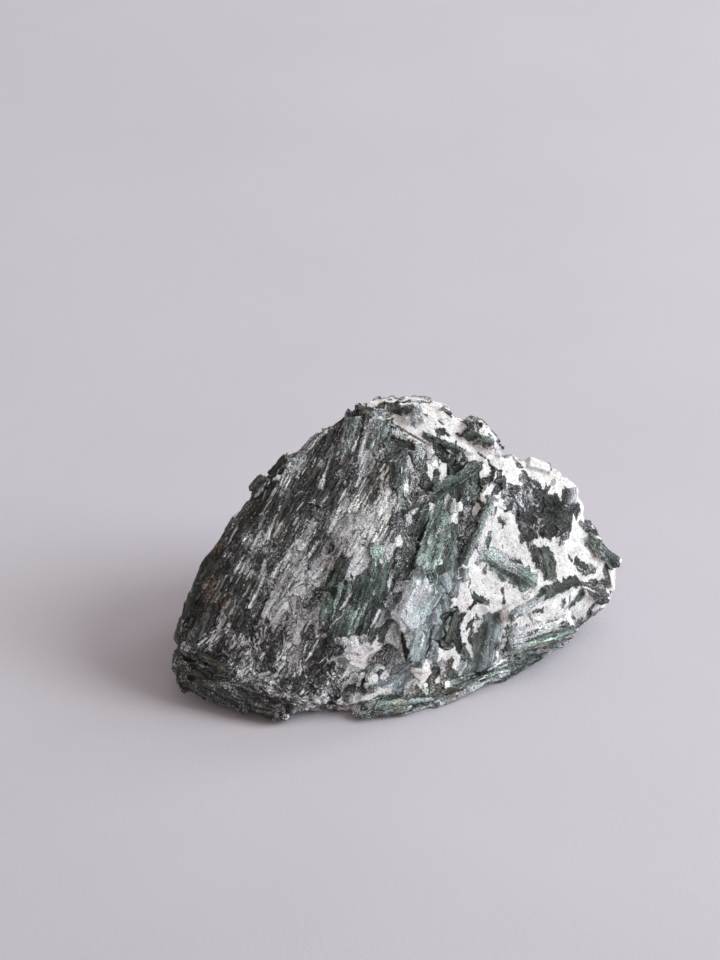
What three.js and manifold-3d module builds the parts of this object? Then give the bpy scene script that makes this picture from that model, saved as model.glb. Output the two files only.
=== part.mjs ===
// A hand specimen of actinolite: green and blue-grey blades grown through white talc.
// The stone is one solid. Its mass is a few overlapping lumps with flat broken faces. Laths
// and crystals stand out of those faces along the grain, and cracks and pits are cut in.
// Millimetres, +Z up, the stone at rest on z = 0 with its middle near the origin.

import * as THREE from "three";
import { ConvexGeometry } from "three/addons/geometries/ConvexGeometry.js";
import { mergeVertices } from "three/addons/utils/BufferGeometryUtils.js";
import Module from "manifold-3d";

// Driving dimensions.
const LENGTH = 116; // along X
const DEPTH = 79; // along Y
const HEIGHT = 68; // along Z

// The broken faces that the lumps give are the furthest that the laths reach. The stone
// between the laths lies this much inside them, along X, Y and Z.
const SET_BACK = [0.985, 0.955, 0.985];

// The habits of crystal, each measure as a least and a greatest share of LENGTH. Proud is how
// far a crystal stands out of what it grew on, and scatter how far it turns off the grain.
const LATH = { length: [0.14, 0.32], width: [0.035, 0.07], proud: [0.002, 0.015], scatter: 6 };
const PLATE = { length: [0.08, 0.15], width: [0.05, 0.1], proud: [0.003, 0.02], scatter: 24 };
const CHIP = { length: [0.04, 0.08], width: [0.03, 0.055], proud: [0.004, 0.02], scatter: 60 };
const NEEDLE = { length: [0.1, 0.24], width: [0.016, 0.032], proud: [0.003, 0.015], scatter: 4 };
const FINEST = 0.02; // mm, the least edge kept where crystals cross
const ROOT = 0.02 * LENGTH; // how deep a crystal's foot lies in the stone
const TILT = 3.5; // degrees that a crystal dips along its length, at most
const ROLL = 12; // degrees that it leans to a side, at most

const wasm = await Module();
wasm.setup();

// A place in the stone, as shares of its half length, its half depth and its height.
function at(across, back, up) {
  return new THREE.Vector3((across * LENGTH) / 2, (back * DEPTH) / 2, up * HEIGHT);
}

function solidOf(geometry) {
  geometry.deleteAttribute("normal");
  geometry.deleteAttribute("uv");
  const merged = mergeVertices(geometry, 1e-4);
  return new wasm.Manifold(
    new wasm.Mesh({
      numProp: 3,
      vertProperties: merged.attributes.position.array,
      triVerts: new Uint32Array(merged.index.array),
    }),
  );
}

function geometryOf(solid) {
  const mesh = solid.getMesh();
  return new THREE.BufferGeometry()
    .setAttribute("position", new THREE.BufferAttribute(mesh.vertProperties, 3))
    .setIndex(new THREE.BufferAttribute(mesh.triVerts, 1));
}

function lump(...corners) {
  return solidOf(new ConvexGeometry(corners.map((corner) => at(...corner))));
}

// The summit and the long left flank.
const summit = lump(
  // foot
  [-0.5, -0.86, 0],
  [-0.12, -0.86, 0],
  [0.22, -0.6, 0],
  [0.5, -0.2, 0],
  [0.3, 0.7, 0],
  [-0.36, 0.72, 0],
  [-0.62, 0, 0],
  // skirt
  [-0.55, -0.96, 0.06],
  [-0.13, -0.93, 0.06],
  [0.22, -0.68, 0.06],
  [0.54, -0.32, 0.08],
  [0.44, 0.84, 0.1],
  [-0.3, 0.98, 0.12],
  [-0.82, 0.36, 0.1],
  [-0.9, -0.56, 0.12],
  // flanks
  [-0.985, -0.62, 0.235],
  [-0.85, -0.39, 0.49],
  [-0.61, -0.15, 0.73],
  [-0.3, -0.76, 0.4],
  [-0.03, -0.57, 0.54],
  [-0.02, -0.24, 0.8],
  [0.32, -0.4, 0.46],
  [-0.6, 0.55, 0.5],
  [0.24, 0.78, 0.46],
  [-0.1, 0.96, 0.3],
  // crest
  [-0.21, 0.14, 0.96],
  [-0.13, 0.15, 0.98],
  [0.04, 0.2, 1],
  [0.19, 0.19, 0.965],
  [0.3, 0.14, 0.87],
  [0.43, 0.12, 0.775],
  [-0.1, 0.5, 0.88],
  [0.4, 0.55, 0.68],
);

// The pale right face and its shoulder.
const shoulder = lump(
  [0.3, -0.34, 0],
  [0.62, -0.05, 0.02],
  [0.5, 0.6, 0],
  [0.5, -0.42, 0.16],
  [0.24, -0.42, 0.46],
  [0.34, -0.2, 0.67],
  [0.43, 0.1, 0.78],
  [0.62, 0.3, 0.7],
  [0.73, 0.31, 0.655],
  [0.81, 0.29, 0.55],
  [0.84, 0.26, 0.51],
  [0.72, -0.02, 0.46],
  [0.77, -0.12, 0.2],
  [0.76, 0.55, 0.36],
  [0.5, 0.6, 0.56],
  [0.62, 0.78, 0.14],
);

// The blunt tip at the right end.
const tip = lump(
  [0.55, -0.1, 0.01],
  [0.8, 0, 0.02],
  [0.86, 0.08, 0.05],
  [0.96, 0.17, 0.085],
  [1, 0.21, 0.165],
  [1, 0.26, 0.245],
  [0.86, 0.25, 0.43],
  [0.56, -0.36, 0.26],
  [0.5, -0.16, 0.5],
  [0.74, -0.14, 0.2],
  [0.92, 0.46, 0.26],
  [0.9, 0.52, 0.1],
  [0.74, 0.66, 0.08],
  [0.6, 0.6, 0.3],
);

// The ledge under the left flank, its underside clear of the ground at the outer end.
const ledge = lump(
  [-0.5, -0.9, 0],
  [-0.4, -0.85, 0],
  [-0.55, -1, 0.02],
  [-0.8, -0.88, 0.03],
  [-0.93, -0.75, 0.045],
  [-1, -0.66, 0.11],
  [-0.99, -0.61, 0.15],
  [-0.95, -0.3, 0.12],
  [-0.38, -0.97, 0.05],
  [-0.2, -0.88, 0.1],
  [-0.36, -0.86, 0.22],
  [-0.86, -0.78, 0.195],
  [-0.6, 0, 0.06],
  [-0.4, 0, 0.2],
);

// The striated blades that lie along the foot of the front, to the right.
const hem = lump(
  [-0.2, -0.92, 0.02],
  [-0.13, -0.97, 0.012],
  [0, -0.92, 0.01],
  [0.22, -0.73, 0.01],
  [0.46, -0.54, 0.01],
  [0.53, -0.42, 0.04],
  [-0.21, -0.9, 0.085],
  [0.1, -0.8, 0.1],
  [0.5, -0.46, 0.12],
  [0, -0.4, 0.02],
  [0.4, -0.1, 0.02],
  [0, -0.4, 0.12],
  [0.4, -0.1, 0.14],
);

// The striated block under the pale shoulder.
const block = lump(
  [0.5, -0.46, 0.02],
  [0.5, -0.5, 0.12],
  [0.5, -0.4, 0.17],
  [0.79, -0.1, 0.02],
  [0.77, -0.22, 0.12],
  [0.77, -0.14, 0.16],
  [0.5, 0, 0.02],
  [0.7, 0.2, 0.02],
  [0.5, 0, 0.2],
  [0.7, 0.2, 0.2],
);

// A small generator with a seed, so that the same crystals grow every time.
function seeded(seed) {
  let state = seed;
  return (least, greatest) => {
    state = (Math.imul(state, 1664525) + 1013904223) >>> 0;
    return least + ((greatest - least) * state) / 2 ** 32;
  };
}

// A crystal along X: a broad foot in the stone and a smaller, uneven top, broken off askew.
function crystalShape({ length, width, proud }, random) {
  const corners = [];
  for (const end of [-0.5, 0.5]) {
    const askew = random(-0.7, 0.7);
    const inset = random(0.75, 0.98);
    for (const side of [-0.5, 0.5]) {
      const x = end * length + askew * side * width;
      const narrowed = side * width * random(0.3, 0.9);
      corners.push(new THREE.Vector3(x, side * width, -ROOT));
      corners.push(new THREE.Vector3(x * inset, narrowed, proud * random(0.65, 1)));
    }
  }
  return new ConvexGeometry(corners);
}

const faces = wasm.Manifold.union([summit, shoulder, tip, ledge, hem, block]);
const heart = faces.scale(SET_BACK);
const caster = new THREE.Raycaster();

// The point of a mesh seen at a place from the side that it faces, and the face there.
function surfaceAt(mesh, place, facing) {
  const outward = facing.clone().normalize();
  caster.set(place.clone().addScaledVector(outward, LENGTH), outward.clone().negate());
  const [hit] = caster.intersectObject(mesh);
  return hit ? { point: hit.point, normal: hit.face.normal.clone() } : null;
}

// One crystal lying on the surface along its grain.
function crystalOn(surface, grain, size, random) {
  const outward = surface.normal;
  const across = new THREE.Vector3().crossVectors(outward, grain).normalize();
  const along = new THREE.Vector3().crossVectors(across, outward);
  const tilt = THREE.MathUtils.degToRad(random(-TILT, TILT));
  const roll = THREE.MathUtils.degToRad(random(-ROLL, ROLL));
  const pose = new THREE.Matrix4().makeBasis(along, across, outward).setPosition(surface.point);
  pose.multiply(new THREE.Matrix4().makeRotationFromEuler(new THREE.Euler(roll, tilt, 0)));
  return solidOf(crystalShape(size, random).applyMatrix4(pose));
}

const heartMesh = new THREE.Mesh(geometryOf(heart));
const faceMesh = new THREE.Mesh(geometryOf(faces));

// Crystals of one habit strewn over the patch between four corners.
function crop({ seed, count, habit, corners, facing, grain }) {
  const random = seeded(seed);
  const [a, b, c, d] = corners.map((corner) => at(...corner));
  const outward = new THREE.Vector3(...facing);
  const run = new THREE.Vector3(...grain).normalize();
  const grown = [];
  for (let i = 0; i < count; i++) {
    const acrossPatch = random(0, 1);
    const downPatch = random(0, 1);
    const top = a.clone().lerp(b, acrossPatch);
    const foot = d.clone().lerp(c, acrossPatch);
    const surface = surfaceAt(heartMesh, top.lerp(foot, downPatch), outward);
    const turn = THREE.MathUtils.degToRad(random(-habit.scatter, habit.scatter));
    const size = {
      length: LENGTH * random(...habit.length),
      width: LENGTH * random(...habit.width),
      proud: LENGTH * random(...habit.proud),
    };
    if (surface) {
      const turned = run.clone().applyAxisAngle(surface.normal, turn);
      grown.push(crystalOn(surface, turned, size, random));
    }
  }
  return grown;
}

// Single crystals that stand out, each from one end to the other, in shares, with its width
// and how far it stands proud, in shares of LENGTH.
function single(from, to, facing, width, proud, seed) {
  const random = seeded(seed);
  const start = at(...from);
  const end = at(...to);
  const middle = start.clone().lerp(end, 0.5);
  const surface = surfaceAt(faceMesh, middle, new THREE.Vector3(...facing));
  const size = { length: start.distanceTo(end), width: LENGTH * width, proud: LENGTH * proud };
  return crystalOn(surface, end.sub(start).normalize(), size, random);
}

const LEFT_FRONT = [-0.25, -0.8, 0.55];
const FRONT = [0.25, -0.85, 0.45];
const RIGHT_FRONT = [0.5, -0.7, 0.5];
const UP = [0.1, -0.3, 0.95];
const BACK = [-0.1, 0.8, 0.6];
const LEFT_BACK = [-0.8, 0.4, 0.5];
const RIGHT_BACK = [0.7, 0.6, 0.45];

// Grain of each face, in millimetres run along X, Y and Z.
const FLANK_GRAIN = [-38, -36, -58];
const MIDDLE_GRAIN = [-10, -22, -40];
const HEM_GRAIN = [43, 20, 3];
const LEDGE_GRAIN = [26, -10, -8];
const BACK_GRAIN = [22, 20, -42];

const crops = [
  {
    // laths down the left flank
    seed: 11,
    count: 27,
    habit: LATH,
    corners: [[-0.46, 0, 0.82], [-0.1, 0.08, 0.94], [-0.08, -0.9, 0.2], [-0.92, -0.55, 0.24]],
    facing: LEFT_FRONT,
    grain: FLANK_GRAIN,
  },
  {
    seed: 12,
    count: 9,
    habit: CHIP,
    corners: [[-0.6, -0.15, 0.7], [-0.1, -0.2, 0.8], [-0.1, -0.85, 0.15], [-0.85, -0.6, 0.2]],
    facing: LEFT_FRONT,
    grain: FLANK_GRAIN,
  },
  {
    // blocky crystals between the flank and the pale face
    seed: 21,
    count: 19,
    habit: PLATE,
    corners: [[-0.1, 0.1, 0.94], [0.3, 0.1, 0.85], [0.4, -0.5, 0.16], [-0.1, -0.85, 0.14]],
    facing: FRONT,
    grain: MIDDLE_GRAIN,
  },
  {
    seed: 22,
    count: 8,
    habit: NEEDLE,
    corners: [[-0.2, 0.1, 0.95], [-0.08, 0.1, 0.96], [-0.02, -0.3, 0.76], [-0.25, -0.3, 0.72]],
    facing: LEFT_FRONT,
    grain: MIDDLE_GRAIN,
  },
  {
    // dark crystals of the shoulder
    seed: 31,
    count: 12,
    habit: CHIP,
    corners: [[0.42, 0.03, 0.74], [0.62, 0.22, 0.66], [0.76, 0.12, 0.47], [0.54, -0.05, 0.57]],
    facing: RIGHT_FRONT,
    grain: MIDDLE_GRAIN,
  },
  {
    seed: 32,
    count: 8,
    habit: CHIP,
    corners: [[0.66, 0.1, 0.5], [0.84, 0.2, 0.45], [0.95, 0.15, 0.16], [0.7, -0.1, 0.22]],
    facing: RIGHT_FRONT,
    grain: HEM_GRAIN,
  },
  {
    // striated blades of the hem and the block
    seed: 41,
    count: 12,
    habit: NEEDLE,
    corners: [[-0.15, -0.9, 0.08], [0.5, -0.46, 0.11], [0.5, -0.46, 0.03], [-0.1, -0.95, 0.02]],
    facing: [0.35, -0.85, 0.2],
    grain: HEM_GRAIN,
  },
  {
    seed: 42,
    count: 8,
    habit: { ...NEEDLE, length: [0.08, 0.15] },
    corners: [[0.56, -0.4, 0.15], [0.72, -0.22, 0.15], [0.72, -0.22, 0.05], [0.56, -0.4, 0.05]],
    facing: [0.55, -0.75, 0.4],
    grain: [16, 11, 0],
  },
  {
    // fibres of the ledge
    seed: 51,
    count: 12,
    habit: NEEDLE,
    corners: [[-0.94, -0.72, 0.16], [-0.5, -0.9, 0.18], [-0.5, -0.97, 0.05], [-0.85, -0.8, 0.06]],
    facing: [-0.35, -0.9, 0.1],
    grain: LEDGE_GRAIN,
  },
  {
    // the back
    seed: 61,
    count: 14,
    habit: LATH,
    corners: [[-0.45, 0.35, 0.72], [0.35, 0.45, 0.78], [0.4, 0.8, 0.15], [-0.55, 0.8, 0.12]],
    facing: BACK,
    grain: BACK_GRAIN,
  },
  {
    seed: 62,
    count: 6,
    habit: PLATE,
    corners: [[-0.4, 0.3, 0.8], [0.3, 0.45, 0.8], [0.35, 0.85, 0.12], [-0.6, 0.7, 0.12]],
    facing: BACK,
    grain: [-30, 10, -20],
  },
  {
    seed: 63,
    count: 8,
    habit: PLATE,
    corners: [[-0.65, -0.05, 0.66], [-0.5, 0.4, 0.62], [-0.7, 0.45, 0.14], [-0.9, -0.3, 0.14]],
    facing: LEFT_BACK,
    grain: [-20, -8, -40],
  },
  {
    seed: 66,
    count: 8,
    habit: PLATE,
    corners: [[0.5, 0.4, 0.66], [0.78, 0.36, 0.52], [0.88, 0.48, 0.12], [0.5, 0.76, 0.12]],
    facing: RIGHT_BACK,
    grain: [10, 20, -40],
  },
  {
    // the white slope behind the crest
    seed: 71,
    count: 6,
    habit: PLATE,
    corners: [[0, 0.25, 0.98], [0.42, 0.2, 0.76], [0.42, 0.5, 0.7], [-0.05, 0.5, 0.88]],
    facing: UP,
    grain: [30, -4, -20],
  },
];

const singles = [
  // block crystal and knob on the left skyline
  single([-0.53, -0.06, 0.78], [-0.47, 0, 0.82], LEFT_FRONT, 0.03, 0.012, 1),
  single([-0.62, -0.16, 0.72], [-0.56, -0.12, 0.75], LEFT_FRONT, 0.03, 0.002, 2),
  // lump of dark crystals on the right of the crest
  single([0.29, 0.08, 0.9], [0.4, 0.16, 0.85], UP, 0.04, 0.022, 3),
  single([0.27, 0.16, 0.9], [0.41, 0.2, 0.83], UP, 0.05, 0.028, 4),
  single([0.31, 0.1, 0.86], [0.43, 0.12, 0.78], UP, 0.034, 0.018, 5),
  // upright blades below the summit
  single([-0.22, 0.08, 0.93], [-0.27, -0.2, 0.78], LEFT_FRONT, 0.034, 0.008, 6),
  single([-0.15, 0.1, 0.95], [-0.19, -0.17, 0.8], LEFT_FRONT, 0.038, 0.012, 7),
  single([-0.09, 0.1, 0.955], [-0.12, -0.16, 0.81], LEFT_FRONT, 0.03, 0.009, 8),
  // the broad green blade and the narrow one that ends the white face
  single([0.21, -0.29, 0.62], [0.1, -0.52, 0.48], FRONT, 0.06, 0.014, 9),
  single([0.39, -0.13, 0.68], [0.25, -0.45, 0.45], RIGHT_FRONT, 0.022, 0.014, 10),
  // blades that meet below the shoulder
  single([0.44, 0.1, 0.78], [0.13, -0.2, 0.72], FRONT, 0.026, 0.014, 11),
  single([0.42, 0.06, 0.77], [-0.04, -0.38, 0.68], FRONT, 0.022, 0.012, 12),
  // dark crystal along the foot of the white slope
  single([0.12, 0, 0.87], [0.33, 0.07, 0.8], FRONT, 0.028, 0.014, 13),
  // blocks beside the summit
  single([0, 0.08, 0.95], [0.09, 0.11, 0.94], FRONT, 0.05, 0.018, 14),
  single([-0.02, -0.12, 0.86], [0.02, -0.3, 0.73], FRONT, 0.04, 0.012, 15),
  // the lens-shaped blade and the long blade on the white face
  single([0.35, -0.3, 0.51], [0.63, -0.22, 0.3], RIGHT_FRONT, 0.04, 0.01, 16),
  single([0.44, -0.4, 0.25], [0.81, 0, 0.29], RIGHT_FRONT, 0.026, 0.014, 17),
  single([0.82, -0.02, 0.22], [0.94, 0.14, 0.15], RIGHT_FRONT, 0.034, 0.01, 18),
  // crystals that break the skyline of the tip
  single([0.84, 0.2, 0.43], [0.91, 0.22, 0.35], RIGHT_FRONT, 0.03, 0.014, 19),
  single([0.88, 0.19, 0.35], [0.99, 0.24, 0.25], RIGHT_FRONT, 0.034, 0.014, 20),
  // the slate blade and the blue-grey plates
  single([0.42, -0.43, 0.26], [0.35, -0.6, 0.09], FRONT, 0.045, 0.014, 21),
  single([0.15, -0.5, 0.43], [0, -0.7, 0.3], FRONT, 0.07, 0.018, 22),
  single([0.1, -0.62, 0.3], [0.02, -0.76, 0.19], FRONT, 0.06, 0.02, 23),
  // the broad dark crystal of the flank
  single([-0.14, -0.61, 0.51], [-0.29, -0.8, 0.34], LEFT_FRONT, 0.1, 0.006, 24),
];

// The open crack above the ledge.
const crack = lump(
  [-1.05, -0.62, 0.16],
  [-1.05, -0.62, 0.19],
  [-1.05, -0.2, 0.16],
  [-1.05, -0.2, 0.19],
  [-0.82, -0.88, 0.2],
  [-0.82, -0.88, 0.21],
  [-0.86, -0.4, 0.19],
);

// Grooves and pits have the shape of crystals that fell out.
const GROOVE = { length: [0.06, 0.2], width: [0.007, 0.014], proud: [0.001, 0.002], scatter: 6 };
const PIT = { length: [0.02, 0.045], width: [0.014, 0.03], proud: [0.001, 0.002], scatter: 40 };
const hollows = [
  {
    seed: 81,
    count: 8,
    habit: GROOVE,
    corners: [[-0.5, -0.1, 0.76], [-0.08, 0.05, 0.9], [-0.1, -0.8, 0.25], [-0.85, -0.6, 0.25]],
    facing: LEFT_FRONT,
    grain: FLANK_GRAIN,
  },
  {
    seed: 82,
    count: 5,
    habit: PIT,
    corners: [[-0.5, -0.5, 0.5], [0.2, -0.2, 0.75], [0.5, -0.5, 0.16], [-0.7, -0.85, 0.16]],
    facing: FRONT,
    grain: FLANK_GRAIN,
  },
  {
    seed: 83,
    count: 5,
    habit: GROOVE,
    corners: [[-0.4, 0.4, 0.7], [0.3, 0.5, 0.75], [0.4, 0.85, 0.2], [-0.5, 0.8, 0.2]],
    facing: BACK,
    grain: BACK_GRAIN,
  },
];

const grown = wasm.Manifold.union([heart, ...crops.flatMap(crop)]).intersect(faces);
const whole = wasm.Manifold.union([grown, ...singles]);
const broken = wasm.Manifold.difference([whole, crack, ...hollows.flatMap(crop)]);
const standing = broken.trimByPlane([0, 0, 1], 0).simplify(FINEST);
const [solid] = standing.decompose().sort((one, other) => other.volume() - one.volume());
const { min, max } = solid.boundingBox();
const stone = solid.translate([-(min[0] + max[0]) / 2, -(min[1] + max[1]) / 2, 0]);

const actinolite = new THREE.Mesh(
  geometryOf(stone),
  new THREE.MeshStandardMaterial({ color: 0x7f8583, roughness: 0.6, metalness: 0, flatShading: true }),
);
actinolite.name = "actinolite";
const specimen = new THREE.Group();
specimen.add(actinolite);

export default specimen;
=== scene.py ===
"""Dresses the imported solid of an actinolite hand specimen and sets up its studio.

The stone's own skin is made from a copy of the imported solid. The crystals that stand clear
are built onto it, it is remeshed and broken into crystal grains that each lie their own way,
and it is coloured grain by grain. Splinters and crumbs of talc lie on that skin as two
meshes of their own.
"""

import math

import bmesh
import bpy
import numpy as np
from mathutils import Matrix, Vector
from mathutils.bvhtree import BVHTree


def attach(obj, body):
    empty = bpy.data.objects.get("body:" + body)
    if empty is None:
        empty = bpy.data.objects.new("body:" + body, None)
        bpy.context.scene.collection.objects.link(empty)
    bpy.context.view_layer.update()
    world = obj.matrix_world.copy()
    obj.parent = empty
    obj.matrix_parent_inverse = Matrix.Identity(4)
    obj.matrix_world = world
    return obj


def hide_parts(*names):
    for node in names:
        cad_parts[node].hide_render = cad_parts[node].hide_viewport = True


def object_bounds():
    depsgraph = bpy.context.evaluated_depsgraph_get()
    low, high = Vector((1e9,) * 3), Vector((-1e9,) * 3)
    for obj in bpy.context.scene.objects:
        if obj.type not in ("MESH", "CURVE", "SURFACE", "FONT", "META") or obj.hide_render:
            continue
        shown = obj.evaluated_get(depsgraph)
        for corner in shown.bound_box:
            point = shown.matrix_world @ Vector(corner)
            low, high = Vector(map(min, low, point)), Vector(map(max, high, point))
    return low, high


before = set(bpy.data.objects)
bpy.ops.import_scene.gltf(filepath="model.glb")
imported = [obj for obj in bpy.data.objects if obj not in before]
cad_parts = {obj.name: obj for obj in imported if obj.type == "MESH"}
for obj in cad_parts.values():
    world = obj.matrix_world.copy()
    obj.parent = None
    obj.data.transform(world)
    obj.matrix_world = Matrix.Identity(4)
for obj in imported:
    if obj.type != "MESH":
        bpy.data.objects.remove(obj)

bl_info = {
    "name": "Actinolite specimen",
    "version": (1, 0, 0),
    "blender": (4, 5, 0),
    "location": "3D View > Sidebar > Specimen",
    "description": "Skins the solid of an actinolite specimen with grains, blades and talc",
    "category": "Object",
}

CAD_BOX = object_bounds()
NODE = "actinolite"
BODY = "root"
STONE = "actinolite in talc"
WHOLE_SKIN = "whole skin"
MM = 0.001

LOW = np.array(CAD_BOX[0])
HIGH = np.array(CAD_BOX[1])
HALF = (HIGH - LOW) / 2
MIDDLE = (HIGH + LOW) / 2


class Seed:
    """The settled start of each series of draws and of each noise."""

    SOWING = 5
    LEAN = 17
    LATHS = 23
    OUTLINES = 31
    SPLINTERS = 47
    CRUMBS = 53

    FLECK_START = 5
    FLECK_MINERAL = 6
    FLECK_NUMBER = 7
    GRAIN_OFFSET = 8
    GRAIN_NUMBER = 12
    CLOUD = 21
    BROAD_CLOUD = 27
    RIDGES = 33
    GROUND_EDGE = 40
    CHIPS = 50
    FLECK_WANDER = 61
    FLECK_ENDS = 64
    LUMPS = 70
    WAVE = 75
    VEINS = 83
    JOINT_WARP = 90
    JOINT_CHIPS = 94


def spot(across, back, up):
    """A place as shares of the stone's half length, its half depth and its height, in metres."""
    return np.array(
        [
            MIDDLE[0] + across * HALF[0],
            MIDDLE[1] + back * HALF[1],
            LOW[2] + up * 2 * HALF[2],
        ]
    )


def unit(vectors):
    """The same directions with a length of one."""
    vectors = np.asarray(vectors, float)
    return vectors / (np.linalg.norm(vectors, axis=-1, keepdims=True) + 1e-12)


def columns(*values):
    """One row for each point, made of one list of numbers for each column."""
    return np.stack(values, axis=1)


# ---------------------------------------------------------------- noise


def cell_number(cells, seed):
    """A settled number from 0 to 1 for each whole-numbered cell: large primes scatter its digits."""
    cells = cells.astype(np.int64)
    key = cells[..., 0] * 73856093 ^ cells[..., 1] * 19349663 ^ cells[..., 2] * 83492791
    key = (key ^ (seed * 2654435761)) & 0xFFFFFFFF
    key = ((key ^ (key >> 15)) * 2246822519) & 0xFFFFFFFF
    key = ((key ^ (key >> 13)) * 3266489917) & 0xFFFFFFFF
    return ((key ^ (key >> 16)) & 0xFFFFFFFF) / 2.0**32


def smooth_noise(points, seed):
    """Soft noise from -1 to 1, with lumps about one unit across."""
    base = np.floor(points)
    part = points - base
    part = part * part * (3 - 2 * part)
    total = np.zeros(len(points))
    for corner in np.ndindex(2, 2, 2):
        share = np.prod(np.where(np.array(corner), part, 1 - part), axis=1)
        total += share * cell_number(base + np.array(corner), seed)
    return total * 2 - 1


def rough_noise(points, seed, octaves):
    """Noise from -1 to 1 with finer lumps on the coarse ones."""
    total = np.zeros(len(points))
    weight = 1.0
    whole = 0.0
    for octave in range(octaves):
        total += weight * smooth_noise(points * 2.03**octave + 7.1 * octave, seed + octave)
        whole += weight
        weight *= 0.5
    return total / whole


def lumps(points, size, seed, octaves):
    """Rough noise whose coarsest lumps are so many millimetres across."""
    return rough_noise(points / (size * MM), seed, octaves)


def chipped(points, seed):
    """For points among broken chips one unit across: the chip's number and the way from its middle."""
    base = np.floor(points)
    best = np.full(len(points), np.inf)
    number = np.zeros(len(points))
    step = np.zeros((len(points), 3))
    for corner in np.ndindex(3, 3, 3):
        cell = base + np.array(corner) - 1
        middle = cell + columns(*(cell_number(cell, seed + axis) for axis in range(3)))
        offset = points - middle
        far = (offset**2).sum(1)
        near = far < best
        best[near] = far[near]
        step[near] = offset[near]
        number[near] = cell_number(cell[near], seed + 3)
    return number, step


# ---------------------------------------------------------------- minerals and grounds

# The minerals. The settings further down hold the mean colour of each.
MINERALS = (
    "talc",
    # The silvery mineral is pale silky fibres, with their sheen painted into the colour.
    "silver",
    "pale_green",
    "green",
    "dark_green",
    "blue_grey",
    "slate",
    "black",
    "olive",
    "brown",
)
# How fibrous each mineral is, and how glossy.
FIBRE = dict(zip(MINERALS, (0.0, 0.6, 1.0, 0.9, 0.8, 0.45, 1.0, 0.5, 1.0, 0.7)))
GLOSS = dict(zip(MINERALS, (0.0, 0.6, 0.7, 0.7, 0.8, 0.9, 0.8, 0.9, 0.5, 0.2)))

# The directions in which the blades run on each side, in any unit.
FLANK_GRAIN = (-38, -36, -58)
UPRIGHT_GRAIN = (-10, -22, -40)
HEM_GRAIN = (43, 20, 3)
LEDGE_GRAIN = (26, -10, -8)
BACK_GRAIN = (22, 20, -42)


class Ground:
    """A stretch of the stone that has one mix of minerals, one grain and one finish."""

    def __init__(self, mix, grain, scatter, length, width, step, silver, dust, middles, fleck=None):
        self.mix = mix
        self.grain = unit(grain)
        self.scatter = math.radians(scatter)
        self.length = length
        self.width = width
        self.step = step
        self.silver = silver
        self.dust = dust
        self.middles = middles
        self.fleck = fleck
        self.talc_share = mix.get("talc", 0) / sum(mix.values())
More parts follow.
